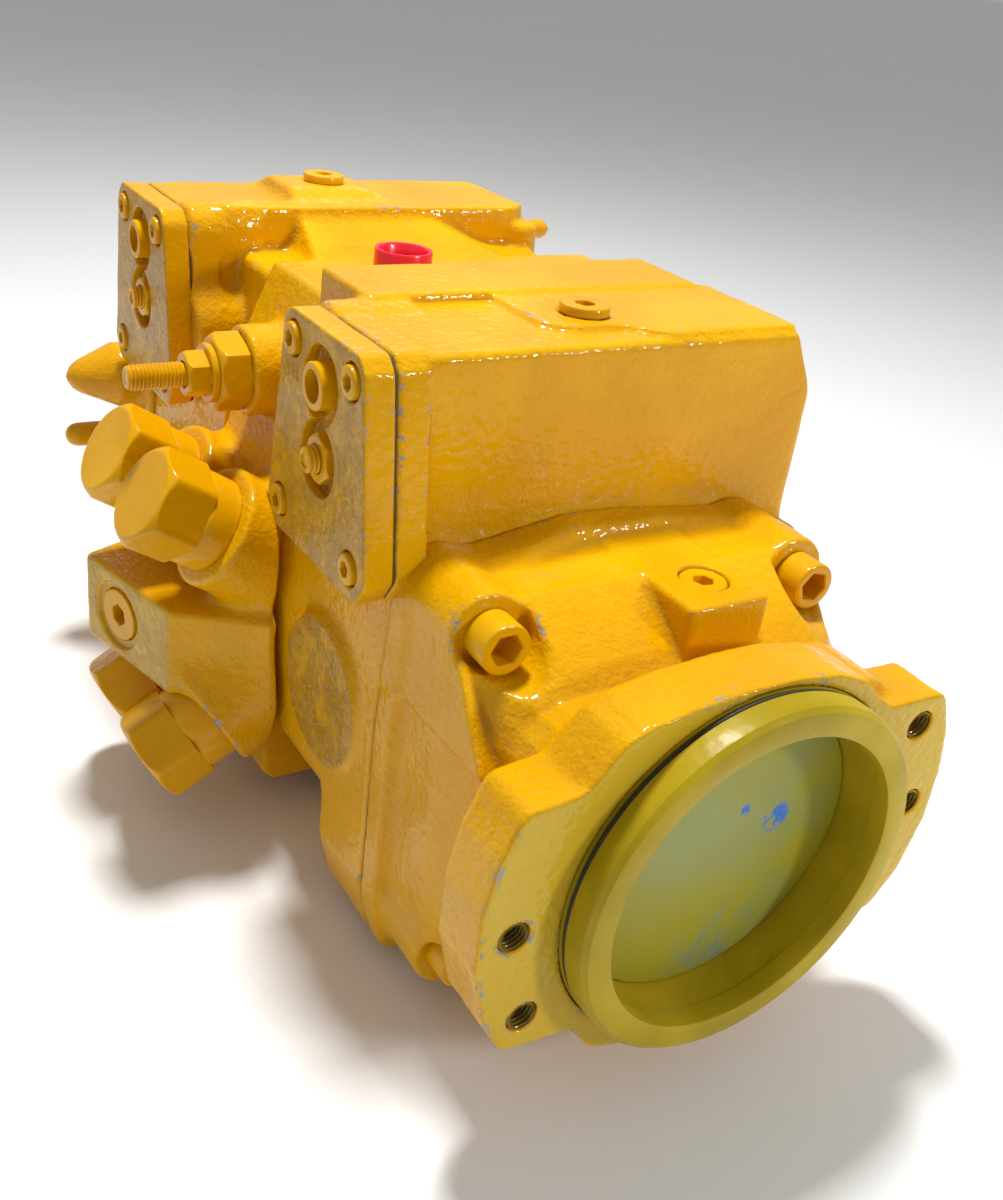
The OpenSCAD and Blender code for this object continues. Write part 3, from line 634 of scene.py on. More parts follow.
PAINT = enamel("enamel_cast", wear=0.8, olive_reflection=0.8)
FITTING = enamel("enamel_fittings", grain=0.45)
COVER_PAINT = enamel("enamel_cover", grain=0.8, wear=0.35)
PILOT_PAINT = enamel("enamel_pilot", grain=0.25, wear=0.0, dark=(0.33, 0.24, 0.004),
                     light=(0.50, 0.36, 0.012), gloss=0.3, blur=0.3)
THREAD_PAINT = enamel("enamel_threads", grain=0.3, dark=(0.20, 0.13, 0.01), light=(0.36, 0.25, 0.03))
BORE_WASH = satin_olive()
RED = red_plastic()
STEEL = ground_steel("ground_steel", (0.36, 0.36, 0.37), (0.62, 0.62, 0.63))
IRON = ground_steel("machined_iron", (0.16, 0.16, 0.165), (0.30, 0.30, 0.31), (0.5, 0.1, 0.5))
BRONZE = ground_steel("bronze", (0.45, 0.25, 0.10), (0.72, 0.45, 0.22))
RUBBER = dull("seal_rubber", (0.012, 0.012, 0.012), (0.03, 0.03, 0.028), 0.6)
FIBRE = dull("gasket_fibre", (0.05, 0.035, 0.01), (0.12, 0.08, 0.02), 0.7)


# ---- castings ----

BODY_OUTLINE = rounded([
    (-60, -112), (60, -112), (86, -100), (98, -60), (100, 20), (113, 60), (113, 80), (60, 92), (25, 97),
    (-16, 97), (-45, 92), (-77, 87), (-92, 70), (-97, 10), (-97, -74), (-91, -104)], 9)
NECK_OUTLINE = rounded([(-84, -70), (84, -70), (84, 66), (-84, 66)], 26)
WAIST_OUTLINE = rounded([(-90, -101), (92, -98), (94, 84), (60, 90), (-60, 90), (-93, 76)], 15)
CORNER_CUT = [(-98, -48), (-62, -104), (-62, -140), (-140, -140), (-140, -48)]
FLANGE_OUTLINE = rounded([
    (-54, -76), (-66, -61), (-98, -57), (-108, -40), (-115, -12), (-115, 14), (-111, 36), (-103, 55),
    (-79, 57), (-66, 73), (-56, 77.5), (-36, 81), (-10, 83), (14, 82.5), (34, 79.5), (50, 73), (60, 63),
    (69, 57), (101, 56), (110, 36), (115, 12), (115, -12), (108, -40), (96, -57), (76, -58), (56, -76),
    (34, -82), (0, -84), (-34, -82)], 7)
COVER_OUTLINE = rounded([
    (SERVO_Y - 31, 170), (SERVO_Y + 31, 170), (SERVO_Y + 37, 164), (SERVO_Y + 48, 84), (SERVO_Y + 40, 72),
    (SERVO_Y - 40, 72), (SERVO_Y - 48, 84), (SERVO_Y - 37, 164)], 6)
BLOCK_OUTLINE = rounded([
    (-92, -96), (98, -96), (104, -90), (104, 100), (112, 110), (112, BLOCK_TOP), (-70, BLOCK_TOP),
    (-84, 124), (-86, 96), (-98, 60), (-98, -90)], 4)
ARM_OUTLINE = rounded([
    (-60, 234), (-100.5, 234), (-100.5, 212), (-144, 243), (-163.5, 314), (-144, 322), (-100.5, 336),
    (-100.5, 307), (-60, 307)], 3)
FRONT_TOP_PLUG = (6, 157, 175.8)
REAR_TOP_PLUG = (-10, 155, 180.8)
STUD_PLACES = ((-62, 80), (62, 80), (-64, -78), (64, -78))
RELIEF_ROOT = (-123.0, 52.0)
RELIEF_LEAN = math.radians(59)
ARM_PLUG = (-156.3, 286.8, -13.5)
ARM_LEAN = math.radians(15.7)
ARM_NORMAL = (-math.cos(ARM_LEAN), -math.sin(ARM_LEAN), 0.0)


def screw_places():
    """X and Z of each housing screw."""
    return [(x, z) for x in (-SCREW_X, SCREW_X) for z in (-SCREW_Z, SCREW_Z)]


def ear_places():
    """X and Z of each tapped hole in the ears."""
    angles = [math.radians(a) for a in EAR_ANGLES]
    return [(EAR_CIRCLE_R * math.cos(a), EAR_CIRCLE_R * math.sin(a)) for a in angles]


def body_field(c):
    """The body's outline with a round lobe for each housing screw."""
    field = c.profile(1, BODY_OUTLINE)
    for x, z in screw_places():
        field = soft_min(field, np.hypot(c.x - x, c.z - z) - 15, 8)
    return field


def shoulder(c):
    """The raised left half: a slanting front wall under a crisp edge, from the left screw to the middle."""
    lean, rise = 0.303, 0.8
    wall = (88 + lean * (c.x + 85) - rise * (92 - c.z) - c.y) / math.sqrt(1 + lean ** 2 + rise ** 2)
    bulk = np.maximum(c.profile(1, BODY_OUTLINE), c.x - 15)
    bulk = np.maximum(bulk, 36 - c.z)
    return round_join(round_join(bulk, wall, 1.5), c.slab(1, 40, END_BACK_Y), 2.5)


def end_housing(c, neck_start):
    """The tapering shell between a flange or end face and the seam, with its screw bosses and pockets."""
    widening = np.clip((c.y - 42) / 36, 0, 1)
    widening = widening * (1.25 - 0.25 * widening)
    shell = c.profile(1, NECK_OUTLINE) * (1 - widening) + c.profile(1, WAIST_OUTLINE) * widening
    c.add(round_join(shell, c.slab(1, neck_start, END_BACK_Y), 3))
    c.add(shoulder(c), 2.5)
    c.add(round_join(body_field(c), c.slab(1, 108, END_BACK_Y), 2.2), 8)
    for x, z in screw_places():
        c.add(c.rod(1, (x, z), 16.5, 73, END_BACK_Y, 3), 4)
    for x, z in screw_places():
        c.cut(c.rod(1, (x * 0.99, z * 1.03), 15.5, 26, 75, 3), 3)


def swash_room(c):
    """The room inside an end housing, with the two seats of the swashplate's cradles."""
    beyond = SEAM_Y + 4
    narrow = c.rod(1, (0, 0), CAVITY_R, 50, beyond)
    c.cut(round_join(narrow, c.box((-73, 50, -61), (73, 80, 61)), 0))
    wide = c.rod(1, (0, 0), CAVITY_R, 74, beyond)
    c.cut(round_join(wide, c.box((-80, 74, -80), (80, 125, 80)), 0))
    c.cut(c.box((-24, 78, 60), (24, beyond, 83)))
    for side in (-1, 1):
        seat = c.box((-40, 49, side * 49 - 11.5), (40, 64, side * 49 + 11.5))
        c.add(np.maximum(seat, -c.rod(2, (0, 103), 55.05, -70, 70)))
    c.cut(c.rod(1, (0, 0), 36, 29.5, 51))


def screw_holes(c, start, end, r):
    for x, z in screw_places():
        c.cut(c.rod(1, (x, z), r, start, end))


def front_end():
    c = Casting((-122, -6, -122), (122, SEAM_Y + 5, 108), CAST_STEP)
    end_housing(c, 10)
    c.add(c.box((-6, 44.5, 50), (34, 118, 90.5), 2.5), 3)
    c.add(c.prism(1, FLANGE_OUTLINE, 0, FLANGE_THICKNESS, 1.5), 4)
    c.keep(c.slab(1, 0, END_BACK_Y), 1.2)
    swash_room(c)
    c.cut(c.rod(1, (0, 0), 80.2, -10, 16))
    c.cut(c.rod(1, (0, 0), 28, 18, 26))
    c.cut(c.rod(1, (0, 0), 24, 10, 32))
    for place in ear_places():
        c.cut(c.rod(1, place, 6.6, -4, 24), 0.8)
    screw_holes(c, 70, SEAM_Y + 5, 7.6)
    c.cut(c.rod(2, BOSS_PLUG, 10.3, 76, 95), 0.8)
    return c


def rear_end():
    c = Casting((-146, 14, -122), (122, SEAM_Y + 5, 108), HIDDEN_STEP)
    end_housing(c, 22)
    c.add(c.rod(1, (0, 0), 58, 21, 40, 3), 6)
    nose_r = np.interp(-88 - c.x, (0, 22, 42, 47, 49.5), (18.5, 18.5, 9.5, 6, 0))
    c.add(np.maximum(np.hypot(c.y - 98, c.z - 55) - nose_r, c.x + 70), 8)
    c.keep(c.slab(1, 21, END_BACK_Y), 1.2)
    swash_room(c)
    screw_holes(c, 70, SEAM_Y + 5, 7.6)
    return c


def plug_pad(c):
    """The low pad round the rear unit's top plug, with sides that slope down to the platform."""
    rise = 5.5
    pad = np.maximum(c.z - PAD_TOP, 150 - c.z)
    for along, edge, run in ((c.x, 9, 13), (c.y, 171, 13), (-c.y, -139, 8), (-c.x, 36, 2)):
        slope = ((along - edge) * rise + (c.z - PAD_TOP) * run) / math.hypot(rise, run)
        pad = round_join(pad, slope, 2)
    return pad


def servo_block(c, rear):
    """The servo cylinder's block, its raised platform and the pad for its cover."""
    plan = rounded([(SERVO_LEFT, 122), (SERVO_RIGHT, 122), (SERVO_RIGHT, 168), (88, SERVO_BACK_Y),
                    (SERVO_LEFT, SERVO_BACK_Y)], 7)
    front = rounded([(SERVO_LEFT, 70), (SERVO_RIGHT, 70), (SERVO_RIGHT, 138), (99, SERVO_TOP),
                     (SERVO_LEFT, SERVO_TOP)], 5)
    block = round_join(c.profile(2, plan), c.profile(1, front), 3.5)
    c.add(np.maximum(block, PUMP_FRONT_Y - c.y), 5)
    if rear:
        platform = rounded([(-20, 125), (99, 125), (99, 187), (88, 195.3), (-80, 195.3), (-80, 178),
                            (-27, 178)], 3)
        c.add(plug_pad(c), 5)
    else:
        platform = rounded([(-22, 148), (-10, 139), (12, 139), (28, 125), (99, 125), (99, 187),
                            (88, SERVO_BACK_Y), (-22, SERVO_BACK_Y)], 3)
        c.add(c.box((-80, 186, 130), (91, PUMP_BACK_Y, STRIP_TOP), 2), 1)
    c.add(c.prism(2, platform, 150, PLATFORM_TOP, 1.6), 2)
    cover_pad = c.prism(0, COVER_OUTLINE, COVER_SEAT, -84, 1.5)
    c.add(np.maximum(cover_pad, c.slab(1, SEAM_Y - 11, 211)), 4)
    c.add(c.rod(0, (SERVO_Y + 26.4, 158.2), 13, COVER_SEAT, -62, 3), 6)
    c.add(c.rod(0, (SERVO_Y + 32, 112), 20, COVER_SEAT, -62, 3), 9)
    c.add(c.rod(2, (96, 189.5), 11, 118, 163, 4), 5)


def pump_casing(rear):
    c = Casting((-118, 104, -122), (126, BLOCK_Y + 5, 184), CAST_STEP)
    c.add(round_join(body_field(c), c.slab(1, PUMP_FRONT_Y, PUMP_BACK_Y), 2))
    servo_block(c, rear)
    c.add(c.box((-72, 175, 80), (100, PUMP_BACK_Y, 150), 5), 5)
    c.add(c.rod(0, (170, 0), 35, -100, -80, 2.2), 7)
    c.cut(c.rod(1, (0, 0), CAVITY_R, 100, 240))
    c.cut(c.box((-33, 100, 60), (33, 172, 84)))
    c.cut(c.box((-26, 146, 80), (26, 170.5, 112)))
    c.cut(c.rod(0, (SERVO_Y, SERVO_Z), 26.05, -120, 66))
    screw_holes(c, 100, 162, 7.1)
    for x, z in STUD_PLACES:
        c.cut(c.rod(1, (x, z), 7.1, 205, 240))
    x, y, z = REAR_TOP_PLUG if rear else FRONT_TOP_PLUG
    c.cut(c.rod(2, (x, y), 11.3, z - 5.4, 200), 0.8)
    c.cut(c.rod(2, (x, y), 8, 162, 190))
    c.cut(c.rod(0, BLEED, 5.6, 92, 125))
    c.cut(c.prism(1, CORNER_CUT, 168, BLOCK_Y + 20, 4), 4)
    return c


def relief_frames():
    """Root and direction of each relief valve."""
    out = []
    for y in (MID_Y - 27.5, MID_Y + 27.5):
        for side in (1, -1):
            direction = (-math.sin(RELIEF_LEAN), 0.0, side * math.cos(RELIEF_LEAN))
            out.append(((RELIEF_ROOT[0], y, side * RELIEF_ROOT[1]), direction))
    return out


def relief_arm(c, low, high):
    """The side arm and the relief valves' bosses, which pass the block's faces only outside the body."""
    arm = c.prism(2, ARM_OUTLINE, -37, 10, 2.5)
    bosses = np.full_like(c.d, 60)
    for origin, direction in relief_frames():
        bosses = soft_min(bosses, c.leaning_rod(origin, direction, 29.5, -50, 0, 2.5), 6)
    outside = np.maximum(c.x + 100.8, np.maximum(low - 30 - c.y, c.y - high - 30))
    between = np.maximum(low - c.y, c.y - high)
    return np.maximum(soft_min(bosses, arm, 14), np.minimum(outside, between))


def port_holes(c, axis, places, mouth, depth, bolt_depth):
    """Each work port with its four bolt holes, from a mouth plane to the depth of each."""
    across, along = FLANGE_BOLT_HALVES
    for u, v in places:
        c.cut(c.rod(axis, (u, v), 12.5, *sorted((depth, mouth))), 0.8)
        for a in (-across, across):
            for b in (-along, along):
                c.cut(c.rod(axis, (u + a, v + b), 5.2, *sorted((bolt_depth, mouth))), 0.8)


def port_casing():
    c = Casting((-172, 198, -112), (120, 348, 164), CAST_STEP)
    low, high = BLOCK_Y + GASKET / 2, FAR_Y - BLOCK_Y - GASKET / 2
    c.add(c.prism(1, BLOCK_OUTLINE, low, high, 3))
    c.add(relief_arm(c, low, high), 9)
    c.add(c.rod(0, (MID_Y, CHARGE_Z), 21, -100, -60, 1.5), 5)
    for origin, direction in relief_frames():
        c.cut(c.leaning_rod(origin, direction, 24.2, 0, 60))
        c.cut(c.leaning_rod(origin, direction, 9.1, -41, 2))
    c.cut(c.rod(1, (0, 0), 26, 220, 320))
    c.cut(c.rod(0, (MID_Y, CHARGE_Z), 12, -110, -58))
    c.cut(c.leaning_rod(ARM_PLUG, ARM_NORMAL, 18, -2.5, 8), 0.8)
    c.cut(c.leaning_rod(ARM_PLUG, ARM_NORMAL, 13.6, -20, 4))
    for x, z in STUD_PLACES:
        c.cut(c.rod(1, (x, z), 7.6, 220, 320))
    c.cut(c.rod(2, RED_CAP, 12.2, 136, 165))
    c.cut(c.rod(2, BLOCK_PLUG, 7.1, 144, 165), 0.8)
    port_holes(c, 0, ((MID_Y, -46), (MID_Y, 46)), 125, 52, 80)
    port_holes(c, 2, ((-36, MID_Y), (36, MID_Y)), -120, -51, -73)
    return c


def servo_plate():
    c = Casting((-116, 106, 66), (-94, 211, 176), PLATE_STEP)
    c.add(c.prism(0, COVER_OUTLINE, COVER_OUT, COVER_IN, 1.3))
    for dy, z in COVER_HOLES:
        c.cut(c.rod(0, (SERVO_Y + dy, z), 4.4, -120, -90))
        c.cut(c.rod(0, (SERVO_Y + dy, z), 7.4, -120, COVER_OUT + 6), 0.6)
    for z in (HOLLOW_PLUG_Z, STROKE_SCREW_Z):
        c.cut(c.rod(0, (SERVO_Y, z), 15.5, -120, COVER_OUT + 6), 1.0)
    c.cut(c.rod(0, (SERVO_Y, HOLLOW_PLUG_Z), 9.5, -120, -90))
    c.cut(c.rod(0, (SERVO_Y, STROKE_SCREW_Z), 6.0, -120, -90))
    return c


# ---- marks on the castings' surfaces ----

def soft_step(value, low, high):
    t = np.clip((value - low) / (high - low), 0, 1)
    return t * t * (3 - 2 * t)


def no_marks(points, normals):
    return np.zeros(len(points)), np.zeros(len(points))


def flange_marks(points, normals):
    """The flange's front face is machined, and gets a painted olive reflection."""
    face = soft_step(-normals[:, 1], 0.8, 0.95) * soft_step(-points[:, 1], -1.5, -0.3)
    return np.zeros(len(points)), face


def pad_marks(points, normals):
    """The round pad's face turns brown: wear and painted shade."""
    pad = soft_step(-normals[:, 0], 0.7, 0.95) * soft_step(-points[:, 0], 98.6, 99.8)
    return pad, np.zeros(len(points))


def arm_marks(points, normals):
    """The arm's slanted end is machined, with a painted olive reflection, and turns brown from wear and
    painted shade.
    """
    end = soft_step(normals @ np.array(ARM_NORMAL), 0.9, 0.98) * soft_step(-points[:, 0], 138, 141)
    return 0.6 * end, end


def plate_marks(points, normals):
    """The cover's outer face turns brown: wear and painted shade."""
    face = soft_step(-normals[:, 0], 0.6, 0.9)
    return 0.9 * face, np.zeros(len(points))


def cast(casting, marks=no_marks, wave=0.22, seed=1):
    """A casting's points, faces, normals and paint layers, with the unevenness of a sand mould."""
    points, faces, normals, edges = casting.surface()
    # Marked faces turn brown from wear and painted shade; machined faces get a painted olive reflection.
    worn_and_shaded, machined = marks(points, normals)
    rough_cast = (ripples(points, 26, seed) + 0.35 * ripples(points, 7, seed + 1)) * wave * (1 - machined)
    points = points - normals * np.maximum(rough_cast + 0.1, 0)[:, None]
    layers = {"edge": np.clip(edges * 1.6, -1, 1), "worn_and_shaded": worn_and_shaded, "turned": machined}
    return points, faces, normals, layers


def place_casting(name, made, nodes, rear=False, material=PAINT):
    """Adds a casting to the front unit, or mirrored to the rear one."""
    points, faces, normals, layers = made
    if rear:
        points = points * (1, -1, 1) + (0, FAR_Y, 0)
        faces = faces[:, ::-1]
        normals = normals * (1, -1, 1)
    add_mesh(name, points, faces, material, nodes, BODY, normals, layers)


def make_castings():
    place_casting("front_end_casting", cast(front_end(), flange_marks, seed=3), ["front_housing"])
    place_casting("port_block_casting", cast(port_casing(), arm_marks, seed=9), ["port_block"])
    place_casting("front_pump_casting", cast(pump_casing(False), pad_marks, seed=5), ["front_pump_housing"])
    rear_pump = cast(pump_casing(True), pad_marks, seed=6)
    place_casting("rear_pump_casting", rear_pump, ["rear_pump_housing"], True)
    place_casting("rear_end_casting", cast(rear_end(), seed=11), ["rear_cover"], True)
    plate = cast(servo_plate(), plate_marks, 0.1, 7)
    place_casting("front_servo_plate", plate, ["front_servo_cover"], False, COVER_PAINT)
    place_casting("rear_servo_plate", plate, ["rear_servo_cover"], True, COVER_PAINT)


# ---- fittings ----

def socket_rings(top, width, depth, cone=2.0):
    """Rings of a hexagon socket that opens at a height."""
    return [(top, 99, width * 1.1), (top - 0.5, 99, width), (top - depth, 99, width),
            (top - depth - cone, 0.3, None)]


def cap_screw(d, head_r, head_h, length, socket):
    """A cap screw along Z, with its head's top at 0."""
    rings = [(-head_h - length, d * 0.42, None), (-head_h - length + 1, d / 2 - 0.05, None),
             (-head_h, d / 2 - 0.05, None), (-head_h, head_r - 0.3, None), (-head_h + 0.4, head_r, None),
             (-1.1, head_r, None), (-0.5, head_r - 0.18, None), (-0.12, head_r - 0.7, None),
             (0, head_r - 1.4, None)]
    return turned(rings + socket_rings(0, socket, head_h * 0.75))


def hex_body(width, height, chamfer=0.93):
    """Rings of a hexagon from height 0, with its top corners turned off."""
    half = width / 2
    rings = [(0, half * 1.02, None), (0.25, half * 1.13, width), (0.6, 99, width)]
    for k in range(9):
        t = k / 8
        drop = 0.16 * width * (1 - t) ** 1.5 * 0.55
        rings.append((height - drop, half * (1.155 - (1.155 - chamfer) * t), width))
    rings.append((height, half * chamfer * 0.97, None))
    return rings


def make_screws():
    cover, housing = Shapes(), Shapes()
    for mirror in (False, True):
        for i, (dy, z) in enumerate(COVER_HOLES):
            place = (COVER_OUT - 2 + 0.4 * (i % 2), SERVO_Y + dy, z)
            cover.add(*cap_screw(8, 6.5, 8, 19, 6), place, (-1, 0, 0), 17 * i, mirror)
        for i, (x, z) in enumerate(screw_places()):
            place = (x, SCREW_TOP_Y, z)
            housing.add(*cap_screw(14, 10.5, 14, 84, 12), place, (0, -1, 0), 23 * i + 8, mirror)
    cover.make("cover_cap_screws", FITTING, ["servo_cover_screws"])
    housing.make("housing_cap_screws", FITTING, ["housing_screws"])


def make_servo_fittings():
    plugs, studs, nuts = Shapes(), Shapes(), Shapes()
    out, deep = COVER_OUT - 3.2, COVER_IN - 1
    height = deep - out
    ring = [(6.6, height), (6.6, 3.5), (0.4, 3.2), (0.4, 0), (9.45, 0), (9.45, height - 0.5), (8.9, height)]
    for mirror in (False, True):
        plugs.add(*ring_solid(ring), (deep, SERVO_Y, HOLLOW_PLUG_Z), (-1, 0, 0), 0, mirror)
        stud = thread(5.9, 5.2, 1.75, 10.5)
        studs.add(*stud, (COVER_OUT + 6.3, SERVO_Y, STROKE_SCREW_Z), (-1, 0, 0), 0, mirror)
        shank = turned([(-25, 5.8, None), (0, 5.8, None)])
        studs.add(*shank, (COVER_OUT + 6.2, SERVO_Y, STROKE_SCREW_Z), (-1, 0, 0), 0, mirror)
        tip = [(0, 5.1, None), (0.3, 5.2, None), (0.9, 4.6, None)] + socket_rings(0.9, 6, 0.75, 0.1)
        studs.add(*turned(tip, 48), (COVER_OUT - 4.1, SERVO_Y, STROKE_SCREW_Z), (-1, 0, 0), 12, mirror)
        nut = hex_body(19, 6) + [(6, 6.3, None), (5.6, 6.05, None), (0, 6.05, None)]
        nuts.add(*turned(nut), (COVER_OUT + 5.9, SERVO_Y, STROKE_SCREW_Z), (-1, 0, 0), 8, mirror)
    plugs.make("servo_hollow_plugs", FITTING, ["servo_port_plugs"])
    studs.make("stroke_limit_studs", FITTING, ["stroke_limit_screws"], sharp=60)
    nuts.make("stroke_limit_lock_nuts", FITTING, ["stroke_limit_nuts"])


def make_charge_relief():
    body, screw, nut = Shapes(), Shapes(), Shapes()
    rings = ([(-37, 11.5, None), (0, 11.9, None)] + hex_body(32, 14)
             + [(14, 13.2, None), (14.4, 13.5, None), (16.5, 13.5, None), (17, 13.1, None)])
    body.add(*turned(rings), (-100.1, MID_Y, CHARGE_Z), (-1, 0, 0), 11)
    body.make("charge_relief_hexagon", FITTING, ["charge_relief_body"])
    screw.add(*thread(5.95, 5.0, 1.75, 25.6), (-127.2, MID_Y, CHARGE_Z), (-1, 0, 0))
    screw.add(*turned([(-34, 5.4, None), (0.5, 5.4, None)]), (-127.2, MID_Y, CHARGE_Z), (-1, 0, 0))
    tip = [(0, 4.9, None), (0.25, 4.8, None)] + socket_rings(0.25, 5, 0.2, 0.05)
    screw.add(*turned(tip, 48), (-152.75, MID_Y, CHARGE_Z), (-1, 0, 0), 20)
    screw.make("charge_relief_stud", FITTING, ["charge_relief_screw"], sharp=60)
    rings = hex_body(19, 10) + [(10, 6.5, None), (9.5, 6.1, None), (0, 6.1, None)]
    nut.add(*turned(rings), (-117.1, MID_Y, CHARGE_Z), (-1, 0, 0), 3)
    nut.make("charge_relief_lock_nut", FITTING, ["charge_relief_nut"])


def make_relief_plugs():
    plugs = Shapes()
    head = [(h + 14, r, w) for h, r, w in hex_body(43, 24, 0.94)]
    rings = ([(-39.5, 8.9, None), (0, 8.9, None), (0, 22.2, None), (0.4, 22.5, None), (13.2, 22.5, None),
              (14, 22.0, None)] + head)
    for i, (origin, direction) in enumerate(relief_frames()):
        plugs.add(*turned(rings, 96), origin, direction, 31 * i + 14)
    plugs.make("relief_valve_hexagons", FITTING, ["relief_valve_plugs"])


def socket_plug(r, depth, socket):
    """A flush plug along Z, with its top at 0."""
    rings = [(-depth, r - 0.6, None), (-depth + 0.6, r, None), (-0.5, r, None), (0, r - 0.5, None)]
    return turned(rings + socket_rings(0, socket, depth * 0.45, 1.0))


def make_port_plugs():
    plugs = Shapes()
    seat = np.array(ARM_PLUG) - 1.5 * np.array(ARM_NORMAL)
    plugs.add(*socket_plug(13.4, 15, 10), seat, ARM_NORMAL, 9)
    plugs.add(*socket_plug(9.9, 12, 8), (*BOSS_PLUG, 89.3), (0, 0, 1), 20)
    plugs.add(*socket_plug(6.9, 12, 6), (*BLOCK_PLUG, BLOCK_TOP + 0.6), (0, 0, 1), 5)
    head = [(-14, 7.4, None), (-13.4, 7.9, None), (-4, 7.9, None), (-4, 10.5, None), (-3.6, 10.8, None),
            (-0.8, 10.8, None), (-0.2, 10.4, None), (0, 9.8, None)]
    for mirror, place in ((False, FRONT_TOP_PLUG), (True, REAR_TOP_PLUG)):
        plugs.add(*turned(head + socket_rings(0, 8, 4, 1.0)), place, (0, 0, 1), 27, mirror)
    plugs.make("socket_plugs", FITTING, ["port_plugs"])


def make_bleeds():
    bleeds = Shapes()
    dome = [(0, 5.4, None), (22, 5.4, None), (24, 5.0, None), (25.8, 3.9, None), (27.3, 2.2, None),
            (28.2, 0.4, None)]
    for mirror in (False, True):
        bleeds.add(*turned(dome, 40), (92, *BLEED), (1, 0, 0), 0, mirror)
    long_dome = [(0, 6.9, None), (34, 6.9, None), (37, 6.2, None), (39.3, 4.6, None), (40.6, 2.4, None),
                 (40.9, 0.4, None)]
    bleeds.add(*turned(long_dome, 40), (-97, 448, 18), (-1, 0, 0))
    bleeds.make("bleed_domes", FITTING, ["bleed_screws"])


def make_pilot():
    """The pilot's turned ring, with the groove at its root and a fine step in its bore."""
    ring = Shapes()
    profile = [(80.0, 14.0), (80.0, 0.2), (77.9, -0.3), (77.9, -2.5), (79.6, -2.5), (80.0, -2.9),
               (80.0, -10.6), (79.6, -12.4), (77.6, -14.3), (76.8, -14.5), (68.6, -14.5), (67.4, -14.1),
               (67.0, -13.2), (67.0, -5.7), (67.25, -5.5), (67.25, 14.5), (66.9, 14.6), (24.0, 14.6),
               (24.0, 15.8), (79.5, 15.8)]
    ring.add(*ring_solid([(r, -y) for r, y in profile[::-1]], 160), (0, 0, 0), (0, -1, 0))
    ring.make("pilot_ring", PILOT_PAINT, [], sharp=28)
    linings = Shapes()
    for angle, (x, z) in zip(EAR_ANGLES, ear_places()):
        linings.add(*thread(6.55, 5.35, 1.75, 22.5, lining=True), (x, 0.7, z), (0, 1, 0), angle)
    linings.make("ear_threads", THREAD_PAINT, [], sharp=60)


def make_covers():
    disc = Shapes()
    rim = 66.9
    rings = [(0, rim - 0.4, None), (0.3, rim, None), (3.5, rim, None), (3.9, rim - 0.5, None),
             (3.9, rim - 2.2, None), (3.75, rim - 3.0, None), (3.75, 20, None)]
    disc.add(*turned(rings, 128), (0, 14.45, 0), (0, -1, 0))
    disc.make("bore_closing_disc", BORE_WASH, ["bore_cover"], "bore_closing_plate", "cover_plate")
    cap = Shapes()
    profile = [(10.9, -9.5), (12.0, -9.5), (12.0, 0.1), (14.2, 0.1), (14.5, 0.5), (14.4, 7.6), (14.1, 8.4),
               (13.4, 8.5), (12.4, 8.1), (11.9, 7.2), (11.4, 1.2), (10.9, 0.6), (0.3, 0.4), (0.3, -9.0),
               (10.5, -9.2)]
    cap.add(*ring_solid(profile, 72), (*RED_CAP, BLOCK_TOP), (0, 0, 1))
    cap.make("red_port_cap", RED, ["port_cap"], "charge_port_cap", "red_plastic")


def paint_cad_nodes():
    """Gives each CAD node that stays its material."""
    looks = {"machined_steel": STEEL, "cast_iron": IRON, "bronze": BRONZE, "rubber": RUBBER,
             "gasket_fibre": FIBRE, "yellow_paint": FITTING}
    for part in frame["record"]["subparts"]:
        node = frame["nodes"][part["node"]]
        look = looks.get(part["material_slot"])
        if look is None:
            continue
        node.data.materials.clear()
        node.data.materials.append(look)


# ---- camera, light and floor ----

CAMERA_PLACE = (-0.3055, -0.2609, 0.3086)
CAMERA_ANGLES = (-34.7, 28.0, 7.6)
CAMERA_LENS = 37.65
LIGHT_AIM = (0.0, 0.25, 0.02)

# Name, place and size in metres, and power in watts of each light
LIGHTS = (
    ("top", (0.0, 0.5, 1.5), (0.2, 0.2), 27),
    ("rear_strip", (0.5, 1.5, 0.9), (0.8, 0.2), 0.8),
    ("front_key", (0.85, -1.2, 0.65), (0.22, 0.22), 9.5),
    ("left_fill", (-1.3, -0.1, 0.5), (0.5, 0.4), 0.2),
)
WORLD_STRENGTH = 0.36
FLOOR_REACH = 60.0


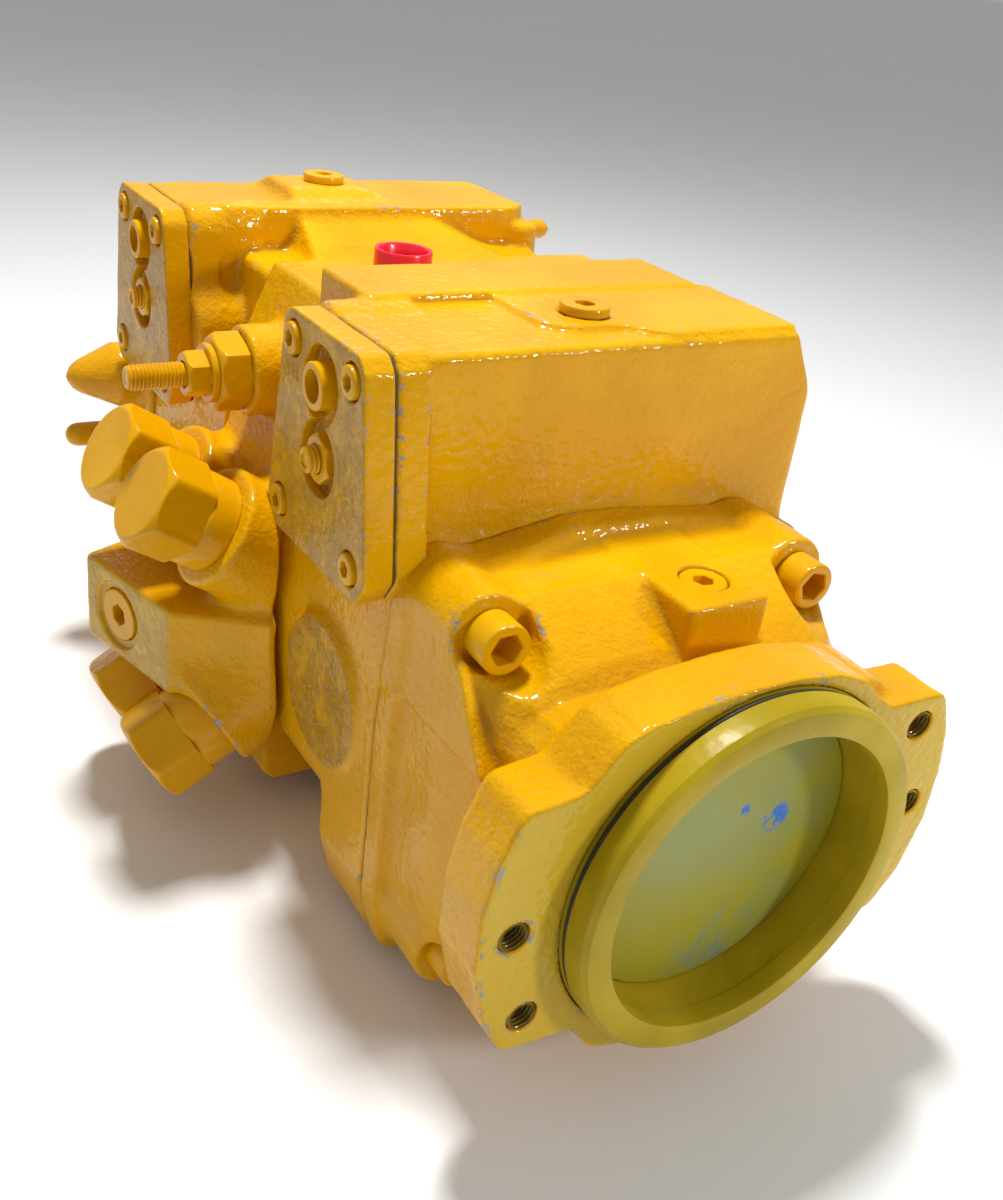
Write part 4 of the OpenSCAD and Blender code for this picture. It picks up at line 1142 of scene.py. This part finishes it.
def add_camera():
    """The camera stands in front of the pump, to its left and above, a little tilted to one side."""
    azimuth, elevation, roll = (math.radians(angle) for angle in CAMERA_ANGLES)
    back = Vector((math.sin(azimuth) * math.cos(elevation), -math.cos(azimuth) * math.cos(elevation),
                   math.sin(elevation)))
    right = Vector((math.cos(azimuth), math.sin(azimuth), 0))
    up = back.cross(right)
    tilted_right = right * math.cos(roll) + up * math.sin(roll)
    tilted_up = up * math.cos(roll) - right * math.sin(roll)
    data = bpy.data.cameras.new("camera")
    data.sensor_width = 36
    data.lens = CAMERA_LENS
    data.clip_start = 0.02
    camera = bpy.data.objects.new("camera", data)
    facing = Matrix((tilted_right, tilted_up, back)).transposed().to_4x4()
    camera.matrix_world = Matrix.Translation(CAMERA_PLACE) @ facing
    bpy.context.scene.collection.objects.link(camera)
    bpy.context.scene.camera = camera


def add_area(name, place, size, power):
    data = bpy.data.lights.new(name, "AREA")
    data.shape = "RECTANGLE"
    data.size, data.size_y = size
    data.energy = power
    light = bpy.data.objects.new(name, data)
    light.location = place
    light.rotation_mode = "QUATERNION"
    light.rotation_quaternion = (Vector(place) - Vector(LIGHT_AIM)).to_track_quat("Z", "Y")
    bpy.context.scene.collection.objects.link(light)


def add_world():
    world = bpy.data.worlds.new("studio")
    world.use_nodes = True
    background = world.node_tree.nodes["Background"]
    background.inputs["Color"].default_value = (1.0, 1.0, 1.0, 1)
    background.inputs["Strength"].default_value = WORLD_STRENGTH
    bpy.context.scene.world = world


def add_floor():
    low = CAD_BOX[0].z - 0.001
    r = FLOOR_REACH
    mesh = bpy.data.meshes.new("floor")
    mesh.from_pydata([(-r, -r, low), (r, -r, low), (r, r, low), (-r, r, low)], [], [(0, 1, 2, 3)])
    mesh.materials.append(floor_paper())
    floor = bpy.data.objects.new("floor", mesh)
    bpy.context.scene.collection.objects.link(floor)


def add_studio():
    """A small strong top light, a key from the front right, two weak fills, and a pale floor."""
    for light in LIGHTS:
        add_area(*light)
    add_world()
    add_floor()
    bpy.context.scene.view_settings.view_transform = "Standard"


add_camera()
make_castings()
make_screws()
make_servo_fittings()
make_charge_relief()
make_relief_plugs()
make_port_plugs()
make_bleeds()
make_pilot()
make_covers()
paint_cad_nodes()
add_studio()
